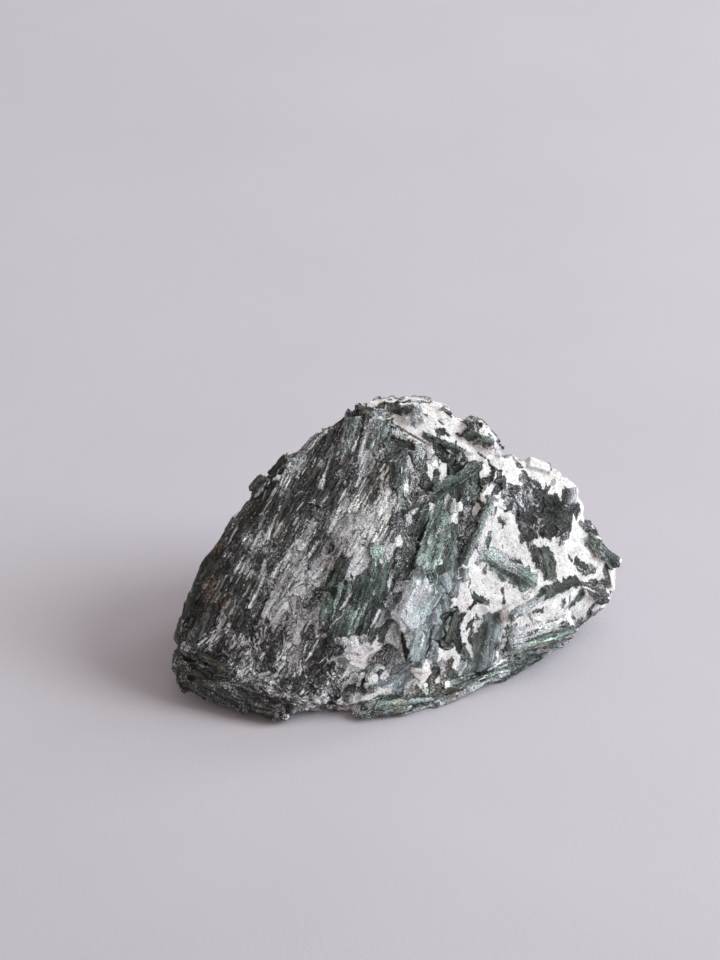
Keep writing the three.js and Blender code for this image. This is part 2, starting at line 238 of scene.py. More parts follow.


# Each ground: its mix, its grain, the scatter of the grain in degrees, the least and the
# greatest length and width of a crystal or bundle in millimetres, how far one stands above
# the next in millimetres, its share of silver sheen (pale fibres with their sheen painted
# into the colour), its share of talc dust, and the middles of the stretch, each with its
# reach in millimetres. A ground with flecks has bundles of fibres, in which each fleck of
# that length and width is a mineral of its own.
GROUNDS = (
    Ground(
        {"slate": 7, "silver": 2.6, "dark_green": 1, "black": 4, "brown": 1.2, "green": 0.4},
        FLANK_GRAIN, 4, (10, 26), (3, 8), 0.3, 0.6, 0.25,
        (
            (-0.42, -0.34, 0.65, 19), (-0.22, -0.35, 0.72, 14),
            (-0.63, -0.5, 0.45, 15), (-0.45, -0.1, 0.78, 12),
        ),
        (4, 0.42),
    ),
    # the lower flank: its large share of black is partly dark mineral and partly painted shade, as this
    # side turns down and away from the lamp
    Ground(
        {"silver": 2.2, "slate": 4, "talc": 0.2, "brown": 0.8, "black": 9},
        FLANK_GRAIN, 14, (4, 11), (2, 5), 0.4, 0.65, 0.2,
        ((-0.62, -0.68, 0.32, 13), (-0.42, -0.78, 0.27, 12), (-0.5, -0.6, 0.45, 8)),
        (1.5, 0.4),
    ),
    Ground(
        {"black": 8, "brown": 1, "slate": 4, "olive": 1},
        FLANK_GRAIN, 6, (8, 20), (2, 5), 0.4, 0.1, 0.05,
        ((-0.88, -0.4, 0.45, 8), (-0.95, -0.5, 0.27, 9), (-0.8, -0.25, 0.56, 6.5)),
        (5, 0.7),
    ),
    Ground(
        {"pale_green": 2.8, "dark_green": 4, "slate": 3, "black": 6, "silver": 0.3},
        (-15, -16, -46), 5, (7, 15), (1.4, 3.4), 0.45, 0.2, 0.12,
        ((-0.17, 0, 0.88, 7), (-0.12, 0.1, 0.95, 6)),
        (5, 0.6),
    ),
    Ground(
        {
            "green": 3, "pale_green": 2, "talc": 2, "silver": 1.7, "dark_green": 3.5,
            "slate": 3, "black": 2.4,
        },
        UPRIGHT_GRAIN, 25, (3, 9), (1.6, 4), 0.6, 0.5, 0.5,
        ((0, -0.2, 0.8, 10), (0.14, -0.25, 0.68, 11), (0.02, -0.48, 0.55, 10), (0.2, 0, 0.84, 8)),
    ),
    Ground(
        {"dark_green": 6, "green": 2.5, "black": 2, "pale_green": 0.5},
        (-14, -26, -40), 4, (12, 20), (5, 9), 0.2, 0.1, 0.0,
        ((-0.22, -0.72, 0.42, 8), (-0.12, -0.65, 0.5, 5)),
        (7, 1.1),
    ),
    Ground(
        {"blue_grey": 6, "silver": 1.6, "green": 1.5, "dark_green": 1},
        UPRIGHT_GRAIN, 30, (5, 10), (3, 6), 0.6, 0.35, 0.3,
        ((0.08, -0.62, 0.35, 9), (0.03, -0.76, 0.2, 7), (0.16, -0.45, 0.42, 7)),
    ),
    Ground(
        {"talc": 5, "silver": 5, "olive": 3, "pale_green": 2, "slate": 2, "brown": 1, "black": 1},
        (-20, -10, -16), 50, (2, 6), (1.2, 3), 0.6, 0.6, 0.6,
        (
            (-0.15, -0.86, 0.2, 9), (0.2, -0.66, 0.16, 8), (0.28, -0.6, 0.3, 7),
            (0.09, -0.76, 0.09, 6.5), (0.3, -0.53, 0.14, 5.5), (0.42, -0.48, 0.14, 4),
        ),
    ),
    Ground(
        {"talc": 14, "brown": 0.9, "olive": 0.8},
        (30, -4, -22), 5, (12, 24), (3, 7), 0.3, 0.05, 0.3,
        ((0.2, 0.15, 0.94, 9), (0.34, 0.14, 0.84, 8), (0.09, 0.25, 0.98, 5.5)),
        (12, 0.5),
    ),
    Ground(
        {"talc": 40, "silver": 1, "dark_green": 1, "green": 1},
        UPRIGHT_GRAIN, 60, (2, 6), (0.7, 1.8), 0.3, 0.05, 0.4,
        (
            (0.4, -0.15, 0.6, 8), (0.45, -0.33, 0.4, 11), (0.6, -0.2, 0.36, 10), (0.55, -0.32, 0.25, 8),
            (0.74, 0.28, 0.62, 7), (0.6, 0.3, 0.7, 7), (0.78, 0.1, 0.4, 8), (0.74, -0.05, 0.24, 8),
            (0.62, -0.28, 0.2, 6), (0.76, -0.08, 0.17, 6), (0.86, 0.15, 0.36, 7),
            (0.26, -0.43, 0.36, 5), (0.31, -0.47, 0.19, 5), (0.33, -0.4, 0.3, 6),
        ),
    ),
    Ground(
        {"black": 4.5, "dark_green": 3, "slate": 7, "green": 1},
        UPRIGHT_GRAIN, 70, (2, 5), (1.2, 3), 0.4, 0.4, 0.12,
        ((0.5, 0.02, 0.66, 7.5), (0.6, 0.0, 0.58, 7.5), (0.7, 0.06, 0.52, 6.5), (0.43, 0.04, 0.7, 5)),
    ),
    Ground(
        {"black": 8, "dark_green": 2, "slate": 1},
        UPRIGHT_GRAIN, 70, (2, 5), (1.2, 3), 0.5, 0.15, 0.0,
        ((0.56, -0.05, 0.56, 5.5), (0.63, 0.0, 0.54, 5)),
    ),
    Ground(
        {"talc": 28, "dark_green": 3, "slate": 2, "olive": 1, "black": 1},
        HEM_GRAIN, 50, (2, 6), (1, 3), 0.3, 0.2, 0.4,
        ((0.88, 0.15, 0.33, 8), (0.95, 0.2, 0.16, 9), (0.85, 0.02, 0.14, 8)),
    ),
    Ground(
        {"pale_green": 6, "green": 3.5, "blue_grey": 3, "silver": 2.4, "dark_green": 3, "black": 1.6},
        HEM_GRAIN, 2, (12, 30), (1.6, 4), 0.5, 0.5, 0.2,
        (
            (0.02, -0.9, 0.02, 6), (0.17, -0.76, 0.01, 6), (0.3, -0.64, 0.01, 6.5),
            (0.46, -0.52, 0.03, 6.5), (-0.14, -0.93, 0.02, 5),
        ),
        (10, 0.5),
    ),
    Ground(
        {"blue_grey": 5, "pale_green": 3, "brown": 1, "dark_green": 2},
        (16, 11, 0.6), 2, (14, 24), (2, 4), 0.5, 0.35, 0.15,
        ((0.6, -0.36, 0.1, 5.5), (0.7, -0.24, 0.09, 5.5)),
        (10, 0.6),
    ),
    # the ledge at the lower left: its great share of black is partly dark mineral and partly painted
    # shade on this low side
    Ground(
        {"olive": 3.4, "slate": 0.6, "brown": 2, "black": 26, "dark_green": 3},
        LEDGE_GRAIN, 9, (6, 16), (1.6, 5), 0.4, 0.3, 0.1,
        ((-0.85, -0.7, 0.1, 10), (-0.66, -0.88, 0.06, 8), (-0.95, -0.5, 0.12, 8)),
        (2.2, 0.42),
    ),
    Ground(
        {"silver": 3.4, "slate": 3.5, "black": 6, "olive": 3, "talc": 0.5, "dark_green": 1.5},
        LEDGE_GRAIN, 50, (2, 6), (1.2, 3), 0.7, 0.8, 0.35,
        (
            (-0.6, -0.82, 0.17, 6), (-0.5, -0.88, 0.1, 7.5),
            (-0.35, -0.86, 0.13, 7), (-0.42, -0.9, 0.05, 6),
        ),
        (1.2, 0.45),
    ),
    Ground(
        {"talc": 9, "pale_green": 2, "green": 2, "silver": 2},
        (26, 14, -24), 26, (4, 12), (2, 5), 0.5, 0.2, 0.4,
        ((0.1, 0.45, 0.86, 13), (0.36, 0.5, 0.7, 12), (-0.12, 0.4, 0.9, 9)),
    ),
    Ground(
        {"slate": 5, "dark_green": 3, "silver": 3, "green": 2, "talc": 0.3, "black": 2},
        (-16, 4, -44), 5, (12, 28), (3, 7), 0.4, 0.5, 0.35,
        ((-0.6, 0.35, 0.5, 20), (-0.8, 0.1, 0.25, 18), (-0.4, 0.5, 0.7, 14), (-0.62, 0.1, 0.66, 12)),
        (4.5, 0.65),
    ),
    Ground(
        {"green": 4, "pale_green": 3, "blue_grey": 2, "talc": 2.5, "slate": 3, "dark_green": 2},
        BACK_GRAIN, 10, (10, 24), (2.5, 6), 0.5, 0.35, 0.35,
        ((-0.1, 0.8, 0.4, 20), (0.22, 0.75, 0.5, 14), (-0.4, 0.85, 0.2, 18), (0.2, 0.85, 0.2, 16)),
        (7, 0.8),
    ),
    Ground(
        {"talc": 12, "green": 2, "dark_green": 2, "slate": 1},
        (10, 20, -40), 40, (2.5, 8), (1.2, 3.4), 0.5, 0.15, 0.4,
        ((0.62, 0.55, 0.45, 14), (0.75, 0.6, 0.2, 14), (0.5, 0.7, 0.25, 10), (0.9, 0.45, 0.2, 8)),
    ),
    Ground(
        {"olive": 3, "slate": 3, "silver": 2, "brown": 2, "talc": 1},
        (30, 8, 0), 20, (8, 18), (3, 7), 0.4, 0.3, 0.4,
        ((0, 0, -0.05, 26), (-0.4, -0.3, -0.05, 18), (0.5, 0.1, -0.05, 18)),
        (4, 0.8),
    ),
)


class Crystal:
    """One crystal that can be told apart, from end to end, its width in millimetres.

    The finish holds its share of silver sheen, pale fibres with painted sheen, and its share of talc
    dust.
    """

    proud = 0.0

    def __init__(self, start, end, width, mineral, facing, tone, finish):
        start = spot(*start)
        end = spot(*end)
        self.middle = (start + end) / 2
        self.run = end - start
        self.length = np.linalg.norm(self.run)
        self.width = width
        self.mineral = mineral
        self.facing = unit(facing)
        self.tone = tone
        self.finish = finish


class Blade(Crystal):
    """A crystal in the skin, which stands proud of its neighbours by so many millimetres."""

    # How far a blade's grain reaches into the stone.
    DEPTH = 3 * MM

    def __init__(self, start, end, width, mineral, facing, proud=0.2, tone=1.0, finish=(0.3, 0.12)):
        super().__init__(start, end, width, mineral, facing, tone, finish)
        self.proud = proud

    def half_sizes(self):
        """Half the length, width and depth of its grain, in metres."""
        return np.array([self.length * 0.52, self.width * 0.5 * MM, self.DEPTH])

    def seat(self, surface):
        """Its middle on the surface, and the way that it looks there."""
        return surface.under(self.middle, self.facing)


class Block(Crystal):
    """A crystal that stands clear of the solid: a few close laths, in millimetres.

    It lies on the solid's surface, raised by so many millimetres, or, where raised is None,
    exactly between its two ends.
    """

    # Dark crystals keep hardly any silver or dust, whatever finish is given.
    DARK = ("black", "dark_green")
    DARK_FINISH = (0.1, 0.05)

    def __init__(
        self, start, end, width, depth, mineral, facing, laths,
        raised=None, tone=1.0, finish=(0.7, 0.35),
    ):
        finish = self.DARK_FINISH if mineral in self.DARK else finish
        super().__init__(start, end, width, mineral, facing, tone, finish)
        self.depth = depth
        self.laths = laths
        self.raised = raised

    def half_sizes(self):
        """Half the length, width and depth of its grain, in metres, with room round the laths."""
        return np.array([self.length * 0.6, self.width * 0.6 * MM, self.depth * 0.9 * MM])

    def seat(self, surface):
        """Its middle, on the surface unless it has a place of its own, and the way that it looks."""
        if self.raised is None:
            return self.middle, self.facing
        return surface.under(self.middle, self.facing)


# The minerals that show as strands in a blade of each mineral, by weight.
STRANDS = {
    "pale_green": {"pale_green": 5, "green": 3, "blue_grey": 2, "dark_green": 1},
    "green": {"green": 5, "pale_green": 2, "dark_green": 3},
    "dark_green": {"dark_green": 5, "green": 3, "black": 3, "pale_green": 0.4},
    "slate": {"slate": 5, "silver": 0.8, "black": 2},
    "blue_grey": {"blue_grey": 8, "silver": 1},
    "black": {"black": 6, "dark_green": 2},
    "olive": {"olive": 4, "dark_green": 2, "green": 2, "brown": 1},
    "silver": {"silver": 4, "slate": 2.5, "blue_grey": 1, "black": 1},
    "brown": {"brown": 3, "black": 2},
    "talc": {"talc": 1},
}

# The sides that crystals face, in any unit.
LEFT_FRONT = (-0.25, -0.8, 0.55)
FRONT = (0.25, -0.85, 0.45)
RIGHT_FRONT = (0.5, -0.7, 0.5)
UP = (0.1, -0.3, 0.95)

# Every place is given by three shares, as spot takes them.
BLOCKS = (
    # the block on the left skyline
    Block((-0.54, -0.02, 0.722), (-0.485, -0.02, 0.818), 3.6, 6, "black", LEFT_FRONT, 2, tone=0.3),
    # the knob of short crystals on the right of the crest, and the flake beside it
    Block((0.3, 0.14, 0.83), (0.288, 0.14, 0.91), 1.5, 2.6, "dark_green", FRONT, 1, tone=0.8),
    Block((0.318, 0.16, 0.83), (0.314, 0.16, 0.925), 1.4, 2.4, "olive", FRONT, 1, tone=0.8),
    Block((0.34, 0.16, 0.81), (0.336, 0.16, 0.905), 1.4, 2.6, "black", FRONT, 1),
    Block((0.37, 0.16, 0.8), (0.345, 0.16, 0.885), 1.4, 2.4, "dark_green", FRONT, 1),
    Block((0.31, 0.1, 0.845), (0.39, 0.1, 0.83), 2.4, 3, "olive", FRONT, 2, tone=1.3),
    Block((0.345, 0.19, 0.9), (0.435, 0.19, 0.775), 1.0, 1.8, "silver", FRONT, 1),
    # the crystal along the top of the summit and the blue-grey block below it
    Block((-0.2, 0.15, 0.96), (-0.01, 0.15, 0.925), 2.4, 4, "olive", FRONT, 2, tone=0.9),
    Block((0.035, 0.16, 0.975), (0.06, 0.08, 0.925), 4.2, 3, "blue_grey", FRONT, 1, 0.3),
    # crystals that break the skyline of the shoulder and the tip
    Block((0.72, 0.1, 0.57), (0.75, 0.1, 0.64), 2.6, 4, "pale_green", RIGHT_FRONT, 1),
    # the pale crystal at the top left of the summit
    Block((-0.205, 0.1, 0.955), (-0.25, -0.1, 0.835), 3.6, 3, "pale_green", LEFT_FRONT, 2, 0.5, 0.95),
    # a rise on the skyline of the shoulder
    Block((0.56, 0.2, 0.72), (0.66, 0.26, 0.67), 3, 3, "talc", RIGHT_FRONT, 1, 0.9),
    # the slate blade, the blue-grey plates and the crystal across the white face
    Block(
        (0.42, -0.42, 0.25), (0.365, -0.57, 0.08), 5.2, 5, "blue_grey", FRONT, 1,
        1.2, 0.74, (0.3, 0.12),
    ),
    Block((0.126, -0.53, 0.46), (0.0, -0.73, 0.31), 9.6, 3, "blue_grey", FRONT, 1, 0.8, 1.4),
    Block(
        (0.075, -0.67, 0.32), (0.03, -0.78, 0.2), 6.2, 3, "blue_grey", FRONT, 1,
        1.0, 0.75, (0.4, 0.2),
    ),
    Block((0.154, -0.63, 0.21), (0.13, -0.64, 0.145), 3, 2.4, "blue_grey", FRONT, 1, 0.4),
    Block((0.446, -0.41, 0.25), (0.63, -0.22, 0.28), 2, 3, "pale_green", RIGHT_FRONT, 2, 0.5),
    Block((0.61, -0.25, 0.28), (0.79, 0.0, 0.26), 3.2, 3, "dark_green", RIGHT_FRONT, 3, 0.5),
    # the striated block of the hem
    Block((0.475, -0.45, 0.175), (0.745, -0.22, 0.17), 3.8, 4, "silver", FRONT, 3, 0.8, 1.8, (1.2, 0.8)),
    Block((0.48, -0.46, 0.125), (0.755, -0.24, 0.125), 2.4, 4, "pale_green", FRONT, 2, 0.6, 2.6),
    Block((0.49, -0.45, 0.09), (0.715, -0.28, 0.09), 1.8, 3, "olive", FRONT, 2, 0.3, 1.9),
    # the green crystal between the slate blade and the hem block
    Block((0.47, -0.4, 0.22), (0.45, -0.46, 0.09), 2.4, 3, "pale_green", FRONT, 1, 0.6, 1.2),
    # a broad crystal that closes the hollow of the flank
    Block((-0.3, -0.507, 0.404), (-0.38, -0.613, 0.306), 6.5, 10, "slate", LEFT_FRONT, 1, tone=0.7),
)

BLADES = (
    # dark crystals on the left skyline
    Blade((-0.57, -0.12, 0.76), (-0.65, -0.15, 0.68), 4, "slate", LEFT_FRONT, 0.2, 1.0, (0.8, 0.2)),
    Blade((-0.57, 0.02, 0.77), (-0.65, 0, 0.68), 5, "olive", LEFT_FRONT, 0, 0.8, (0.2, 0.1)),
    Blade((-0.1, 0.2, 0.98), (0.03, 0.17, 0.955), 3.4, "olive", FRONT, 0.1, 1.0, (0.2, 0.1)),
    # upright blades below the summit
    Blade((-0.145, 0.13, 0.965), (-0.2, -0.15, 0.83), 1.3, "black", LEFT_FRONT, -0.3),
    Blade((-0.12, 0.11, 0.965), (-0.18, -0.12, 0.84), 1.2, "slate", LEFT_FRONT, 0.2, 1.5),
    Blade((-0.094, 0.085, 0.96), (-0.155, -0.085, 0.85), 2.4, "pale_green", LEFT_FRONT, 0.2),
    Blade((-0.05, 0.05, 0.93), (-0.1, -0.1, 0.83), 1.8, "olive", LEFT_FRONT, 0.1, 1.3),
    Blade((-0.27, 0.08, 0.92), (-0.37, -0.12, 0.8), 2.6, "slate", LEFT_FRONT, 0.1, 1.1),
    Blade((-0.31, 0.06, 0.9), (-0.43, -0.13, 0.765), 2, "black", LEFT_FRONT, -0.2, 1.4),
    Blade((-0.29, 0.02, 0.88), (-0.36, -0.24, 0.74), 2.4, "silver", LEFT_FRONT, 0.2),
    # the broad green blade with a darker one beside it, and the narrow one at the white face
    Blade((0.2, -0.19, 0.68), (0.08, -0.53, 0.49), 7, "pale_green", FRONT, 0.3, 2.1),
    Blade((0.09, -0.25, 0.68), (0.04, -0.42, 0.59), 4.6, "dark_green", FRONT, 0.1),
    Blade((-0.02, -0.3, 0.7), (-0.08, -0.46, 0.6), 4, "slate", FRONT, 0.1),
    Blade((0.27, -0.24, 0.62), (0.17, -0.5, 0.46), 2.6, "green", FRONT, 0.2),
    Blade((0.4, -0.1, 0.68), (0.25, -0.45, 0.45), 2.2, "pale_green", RIGHT_FRONT, 0.2),
    # blades that meet below the shoulder
    Blade((0.42, 0.09, 0.79), (0.13, -0.2, 0.72), 2.2, "pale_green", FRONT, 0.4, 1.2),
    Blade((0.41, 0.08, 0.765), (0.11, -0.27, 0.67), 1.8, "green", FRONT, 0.2, 1.2),
    Blade((0.37, 0.04, 0.735), (-0.02, -0.36, 0.67), 1.2, "dark_green", FRONT, 0.2),
    # the foot of the knob on the crest
    Blade((0.25, 0.15, 0.885), (0.33, 0.1, 0.85), 4, "olive", FRONT, -0.2, 0.7, (0.3, 0)),
    # the wedge between them and the shoulder: a sunk brown crystal whose dark is painted shade in the
    # wedge
    Blade((0.42, 0.07, 0.74), (0.38, 0.02, 0.67), 1.2, "brown", FRONT, -0.7, 0.7, (0, 0)),
    # the dark crystal along the foot of the white slope
    Blade((0.06, 0.02, 0.92), (0.31, 0.04, 0.8), 2.2, "dark_green", FRONT, 0.1, 1.4),
    Blade((0.03, 0.2, 0.98), (0.16, 0.24, 0.95), 0.7, "black", UP, 0.1, 1.2),
    Blade((0.17, 0.2, 0.93), (0.24, 0.2, 0.9), 1.4, "olive", UP, 0.1),
    # the dark crystal, and the brown hollow beside the summit, a sunk brown crystal whose dark is
    # painted shade
    Blade((-0.06, -0.02, 0.9), (0.05, -0.02, 0.88), 3, "brown", FRONT, -0.9, 0.6, (0.05, 0.1)),
    Blade((-0.01, -0.1, 0.86), (-0.02, -0.26, 0.76), 3.8, "dark_green", FRONT, 0.0, 0.8, (0.1, 0.05)),
    # crystals in the white face
    Blade((0.34, -0.265, 0.505), (0.53, -0.2, 0.4), 5, "pale_green", RIGHT_FRONT, -0.2, 2.0, (0.9, 0.9)),
    Blade(
        (0.42, -0.265, 0.45), (0.6, -0.235, 0.32), 6, "pale_green", RIGHT_FRONT,
        -0.3, 1.5, (0.8, 0.9),
    ),
    Blade((0.56, -0.13, 0.46), (0.61, -0.15, 0.37), 3, "slate", RIGHT_FRONT, 0.1, 1.4),
    Blade((0.62, -0.1, 0.42), (0.66, -0.13, 0.31), 4.8, "olive", RIGHT_FRONT, 0.2, 1.1),
    Blade((0.78, 0.06, 0.34), (0.87, 0.1, 0.26), 3, "dark_green", RIGHT_FRONT, 0.1, 1.2),
    Blade((0.81, 0.04, 0.23), (0.92, 0.16, 0.11), 2.8, "slate", RIGHT_FRONT, 0.2, 1.7),
    Blade((0.8, 0.2, 0.46), (0.85, 0.2, 0.4), 2.6, "slate", RIGHT_FRONT, 0.1, 0.8),
    Blade((0.86, 0.2, 0.385), (0.99, 0.225, 0.255), 3.4, "dark_green", RIGHT_FRONT, 0.3),
    Blade((0.93, 0.2, 0.27), (0.935, 0.17, 0.21), 1.4, "green", RIGHT_FRONT, 0.1),
    Blade((0.58, -0.3, 0.22), (0.63, -0.21, 0.2), 1.4, "dark_green", RIGHT_FRONT, 0.2),
    Blade((0.75, -0.07, 0.16), (0.81, 0.01, 0.19), 1.7, "dark_green", RIGHT_FRONT, 0.2),
    Blade((0.22, -0.55, 0.2), (0.25, -0.49, 0.3), 3, "olive", FRONT, 0.2, 1.3),
    Blade((0.32, -0.43, 0.36), (0.4, -0.38, 0.3), 1.8, "dark_green", FRONT, 0.2),
    # the glassy crystal of the flank with its thin white neighbours
    Blade((-0.14, -0.6, 0.52), (-0.21, -0.72, 0.38), 6, "dark_green", FRONT, 0.2, 1.0, (0, 0)),
    Blade((-0.25, -0.5, 0.6), (-0.3, -0.62, 0.47), 5, "dark_green", LEFT_FRONT, 0.1, 1.2, (0, 0)),
    Blade((-0.27, -0.68, 0.46), (-0.31, -0.8, 0.36), 3.6, "green", LEFT_FRONT, 0.1, 0.9, (0.1, 0)),
    Blade((-0.12, -0.7, 0.4), (-0.14, -0.78, 0.29), 4, "dark_green", FRONT, 0.2, 0.9, (0.1, 0)),
    Blade((-0.215, -0.69, 0.46), (-0.285, -0.76, 0.385), 0.8, "talc", FRONT, 0.3, 1.0, (1, 0.5)),
    Blade((-0.08, -0.655, 0.37), (-0.15, -0.73, 0.283), 0.9, "talc", FRONT, 0.4, 1.0, (1, 0.5)),
    # dark and silver bars of the flank
    Blade((-0.29, -0.37, 0.64), (-0.395, -0.53, 0.52), 4, "slate", LEFT_FRONT, 0.3, 0.8, (0.1, 0)),
    Blade((-0.35, -0.3, 0.67), (-0.44, -0.44, 0.565), 2, "silver", LEFT_FRONT, 0.1, 1.1, (1, 0.5)),
    Blade((-0.4, -0.28, 0.69), (-0.336, -0.34, 0.66), 2.4, "green", LEFT_FRONT, 0.2),
    Blade((-0.42, -0.3, 0.68), (-0.5, -0.45, 0.57), 3, "slate", LEFT_FRONT, -0.2, 0.9, (0.5, 0.1)),
    Blade((-0.57, -0.46, 0.5), (-0.67, -0.61, 0.345), 3.5, "silver", LEFT_FRONT, 0.2, 1.1, (1, 0.3)),
    Blade((-0.55, -0.55, 0.45), (-0.61, -0.64, 0.33), 2.4, "silver", LEFT_FRONT, 0.3, 1.1, (1, 0.5)),
    Blade((-0.47, -0.61, 0.45), (-0.46, -0.72, 0.36), 4, "slate", LEFT_FRONT, -0.2, 0.85, (0.8, 0.3)),
    Blade((-0.64, -0.65, 0.34), (-0.67, -0.69, 0.27), 5, "slate", LEFT_FRONT, -0.2, 0.9, (0.1, 0)),
    Blade((-0.41, -0.74, 0.36), (-0.44, -0.81, 0.26), 2.2, "silver", LEFT_FRONT, 0.4, 1.1, (1, 0.8)),
    Blade((-0.23, -0.77, 0.3), (-0.2, -0.8, 0.22), 7, "silver", FRONT, 0.2, 1.15, (1.2, 1.3)),
    # the gap below the upper plate: a sunk black crystal, painted shadow under the plate
    Blade((-0.055, -0.68, 0.3), (0.0, -0.75, 0.21), 2.4, "black", FRONT, -1.1, 0.4, (0, 0)),
    # the open crack, darkened by a sunk black crystal as painted shade, and the crystal over it
    Blade((-0.99, -0.57, 0.15), (-0.8, -0.77, 0.18), 1.3, "black", LEFT_FRONT, -1.2, 0.3, (0, 0)),
    Blade((-0.97, -0.6, 0.23), (-0.87, -0.66, 0.21), 2.6, "slate", LEFT_FRONT, 0.1, 1.5, (0.6, 0.1)),
    # long blades of the hem
    Blade((-0.15, -0.95, 0.05), (0.2, -0.78, 0.04), 1.8, "pale_green", FRONT, 0.5, 1.1),
    Blade((0.07, -0.85, 0.05), (0.42, -0.6, 0.06), 1.4, "green", FRONT, 0.4, 1.3),
    Blade((0.12, -0.84, 0.02), (0.5, -0.52, 0.045), 1.9, "pale_green", FRONT, 0.6, 1.5, (0.8, 0.5)),
    Blade((0.04, -0.72, 0.12), (0.15, -0.67, 0.11), 4.4, "talc", FRONT, 0.2),
    Blade((0.27, -0.53, 0.17), (0.3, -0.56, 0.11), 2.4, "pale_green", FRONT, 0.2, 1.1),
    Blade((0.2, -0.63, 0.12), (0.25, -0.62, 0.09), 2, "olive", FRONT, 0.2, 1.1),
)

# Hollows that stay open when the others are filled: their middles, each with its reach in millimetres.
OPEN_HOLLOWS = (
    # the open crack
    (-0.88, -0.62, 0.17, 6),
    # beside the block on the left skyline, and round the knob on the crest
    (-0.45, 0.0, 0.8, 3.5),
    (0.34, 0.13, 0.87, 3.5),
)


# ---------------------------------------------------------------- grains


def strand_number(mineral):
    """The number that stands for the strands of one mineral in place of a ground's number."""
    return -1 - MINERALS.index(mineral)


class Grains:
    """Crystal grains: where each lies, its own axes, its half sizes and how it looks."""

    # Room for this many grains.
    MOST = 6000
    # How far from a point its grain's middle may be, and how many points are dealt with at once.
    REACH = 14 * MM
    CHUNK = 4000
    # The most that a grain's ends lean, and that its sides draw in or out, as shares.
    ASKEW = 0.8
    TAPER = 0.4

    def __init__(self):
        self.count = 0
        self.named = 0
        self.places = np.zeros((self.MOST, 3))
        self.axes = np.zeros((self.MOST, 3, 3))
        self.sizes = np.ones((self.MOST, 3))
        self.proud = np.zeros(self.MOST)
        self.tones = np.ones(self.MOST)
        self.finish = np.zeros((self.MOST, 2))
        self.grounds = np.full(self.MOST, -1)
        self.minerals = np.zeros(self.MOST, int)
        rng = np.random.default_rng(Seed.OUTLINES)
        self.askew = rng.uniform(-self.ASKEW, self.ASKEW, self.MOST)
        self.taper = rng.uniform(-self.TAPER, self.TAPER, self.MOST)

    def add(self, place, along, outward, size, mineral, tone, proud, finish, ground=None):
        """Adds one grain; finish holds its share of silver sheen, which is partly painted sheen, and its
        share of dust.
        """
        across = unit(np.cross(outward, along))
        along = unit(np.cross(across, outward))
        self.places[self.count] = place
        self.axes[self.count] = (along, across, outward)
        self.sizes[self.count] = size
        self.proud[self.count] = proud
        self.tones[self.count] = tone
        self.finish[self.count] = finish
        self.minerals[self.count] = MINERALS.index(mineral)
        self.grounds[self.count] = strand_number(mineral) if ground is None else ground
        self.count += 1

    def crowded(self, place):
        """Whether the place lies inside a grain already sown."""
        offset = place - self.places[: self.count]
        local = np.einsum("gij,gj->gi", self.axes[: self.count], offset)
        local = local / self.sizes[: self.count]
        return bool(((local**4).sum(1) < 1.0).any())

    def nearest(self, points):
        """For each point its own grain, and how far it is from the joint with the next one.

        A grain's outline is a box with rounded corners, the sum of the eighth powers, with
        its ends askew and its sides tapered. A named crystal holds its ground more firmly.
        """
        own = np.empty(len(points), int)
        gap = np.empty(len(points))
        order = np.argsort(points[:, 0])
        seeds = self.places[: self.count]
        for first in range(0, len(points), self.CHUNK):
            rows = order[first : first + self.CHUNK]
            part = points[rows]
            low, high = part[0, 0] - self.REACH, part[-1, 0] + self.REACH
            close = np.where((seeds[:, 0] > low) & (seeds[:, 0] < high))[0]
            steps = []
            for axis in range(3):
                direction = self.axes[close, axis] / self.sizes[close, axis : axis + 1]
                step = part @ direction.T - (seeds[close] * direction).sum(1)
                steps.append(step.astype(np.float32))
            along, aside, out = steps
            slant = self.askew[close] * self.sizes[close, 1] / self.sizes[close, 0]
            along += slant.astype(np.float32) * aside
            aside *= 1 + self.taper[close].astype(np.float32) * np.clip(along, -1.1, 1.1)
            for step in steps:
                for _ in range(3):
                    step *= step
            far = along + aside + out
            far[:, close < self.named] **= 2
            best = far.argmin(1)
            each = np.arange(len(part))
            least = far[each, best].copy()
            at_end = along[each, best] > aside[each, best]
            far[each, best] = np.inf
            own[rows] = close[best]
            gap[rows] = far.min(1) ** 0.125 - least**0.125
            gap[rows] *= np.where(at_end, self.sizes[own[rows], 0], self.sizes[own[rows], 1])
        return own, gap

    def local(self, points, own):
        """Each point in its own grain's axes, in metres from the grain's middle."""
        return np.einsum("nij,nj->ni", self.axes[own], points - self.places[own])


def ground_of(points):
    """The number of the ground that each point belongs to."""
    best = np.full(len(points), np.inf)
    found = np.zeros(len(points), int)
    for number, ground in enumerate(GROUNDS):
        for across, back, up, reach in ground.middles:
            far = np.linalg.norm(points - spot(across, back, up), axis=1) / (reach * MM)
            # the edges between grounds wander
            far = far * (1 + 0.18 * lumps(points, 5, Seed.GROUND_EDGE + number, 2))
            found[far < best] = number
            best = np.minimum(best, far)
    return found


def grain_on(ground, outward, rng):
    """The direction in which one crystal of a ground lies on a face that looks outward."""
    turn = rng.normal(0, ground.scatter)
    side = unit(np.cross(outward, ground.grain))
    run = np.cross(side, outward)
    return math.cos(turn) * run + math.sin(turn) * side


def pick(mix, rng):
    """One mineral of a mix, by its weight."""
    names = list(mix)
    weights = np.array([mix[name] for name in names], float)
    return names[rng.choice(len(names), p=weights / weights.sum())]


# How many places on the skin are tried for a grain.
TRIED = 16000
# The least and the greatest tone of a grain, and its silver sheen and dust as shares of its ground's.
TONES = (0.72, 1.25)
SILVER_SHEENS = (0.4, 1.5)
DUSTS = (0.2, 1.6)
# How far below or above its neighbours a grain may lie, as shares of its ground's step.
STEPS = (-0.6, 0.5)


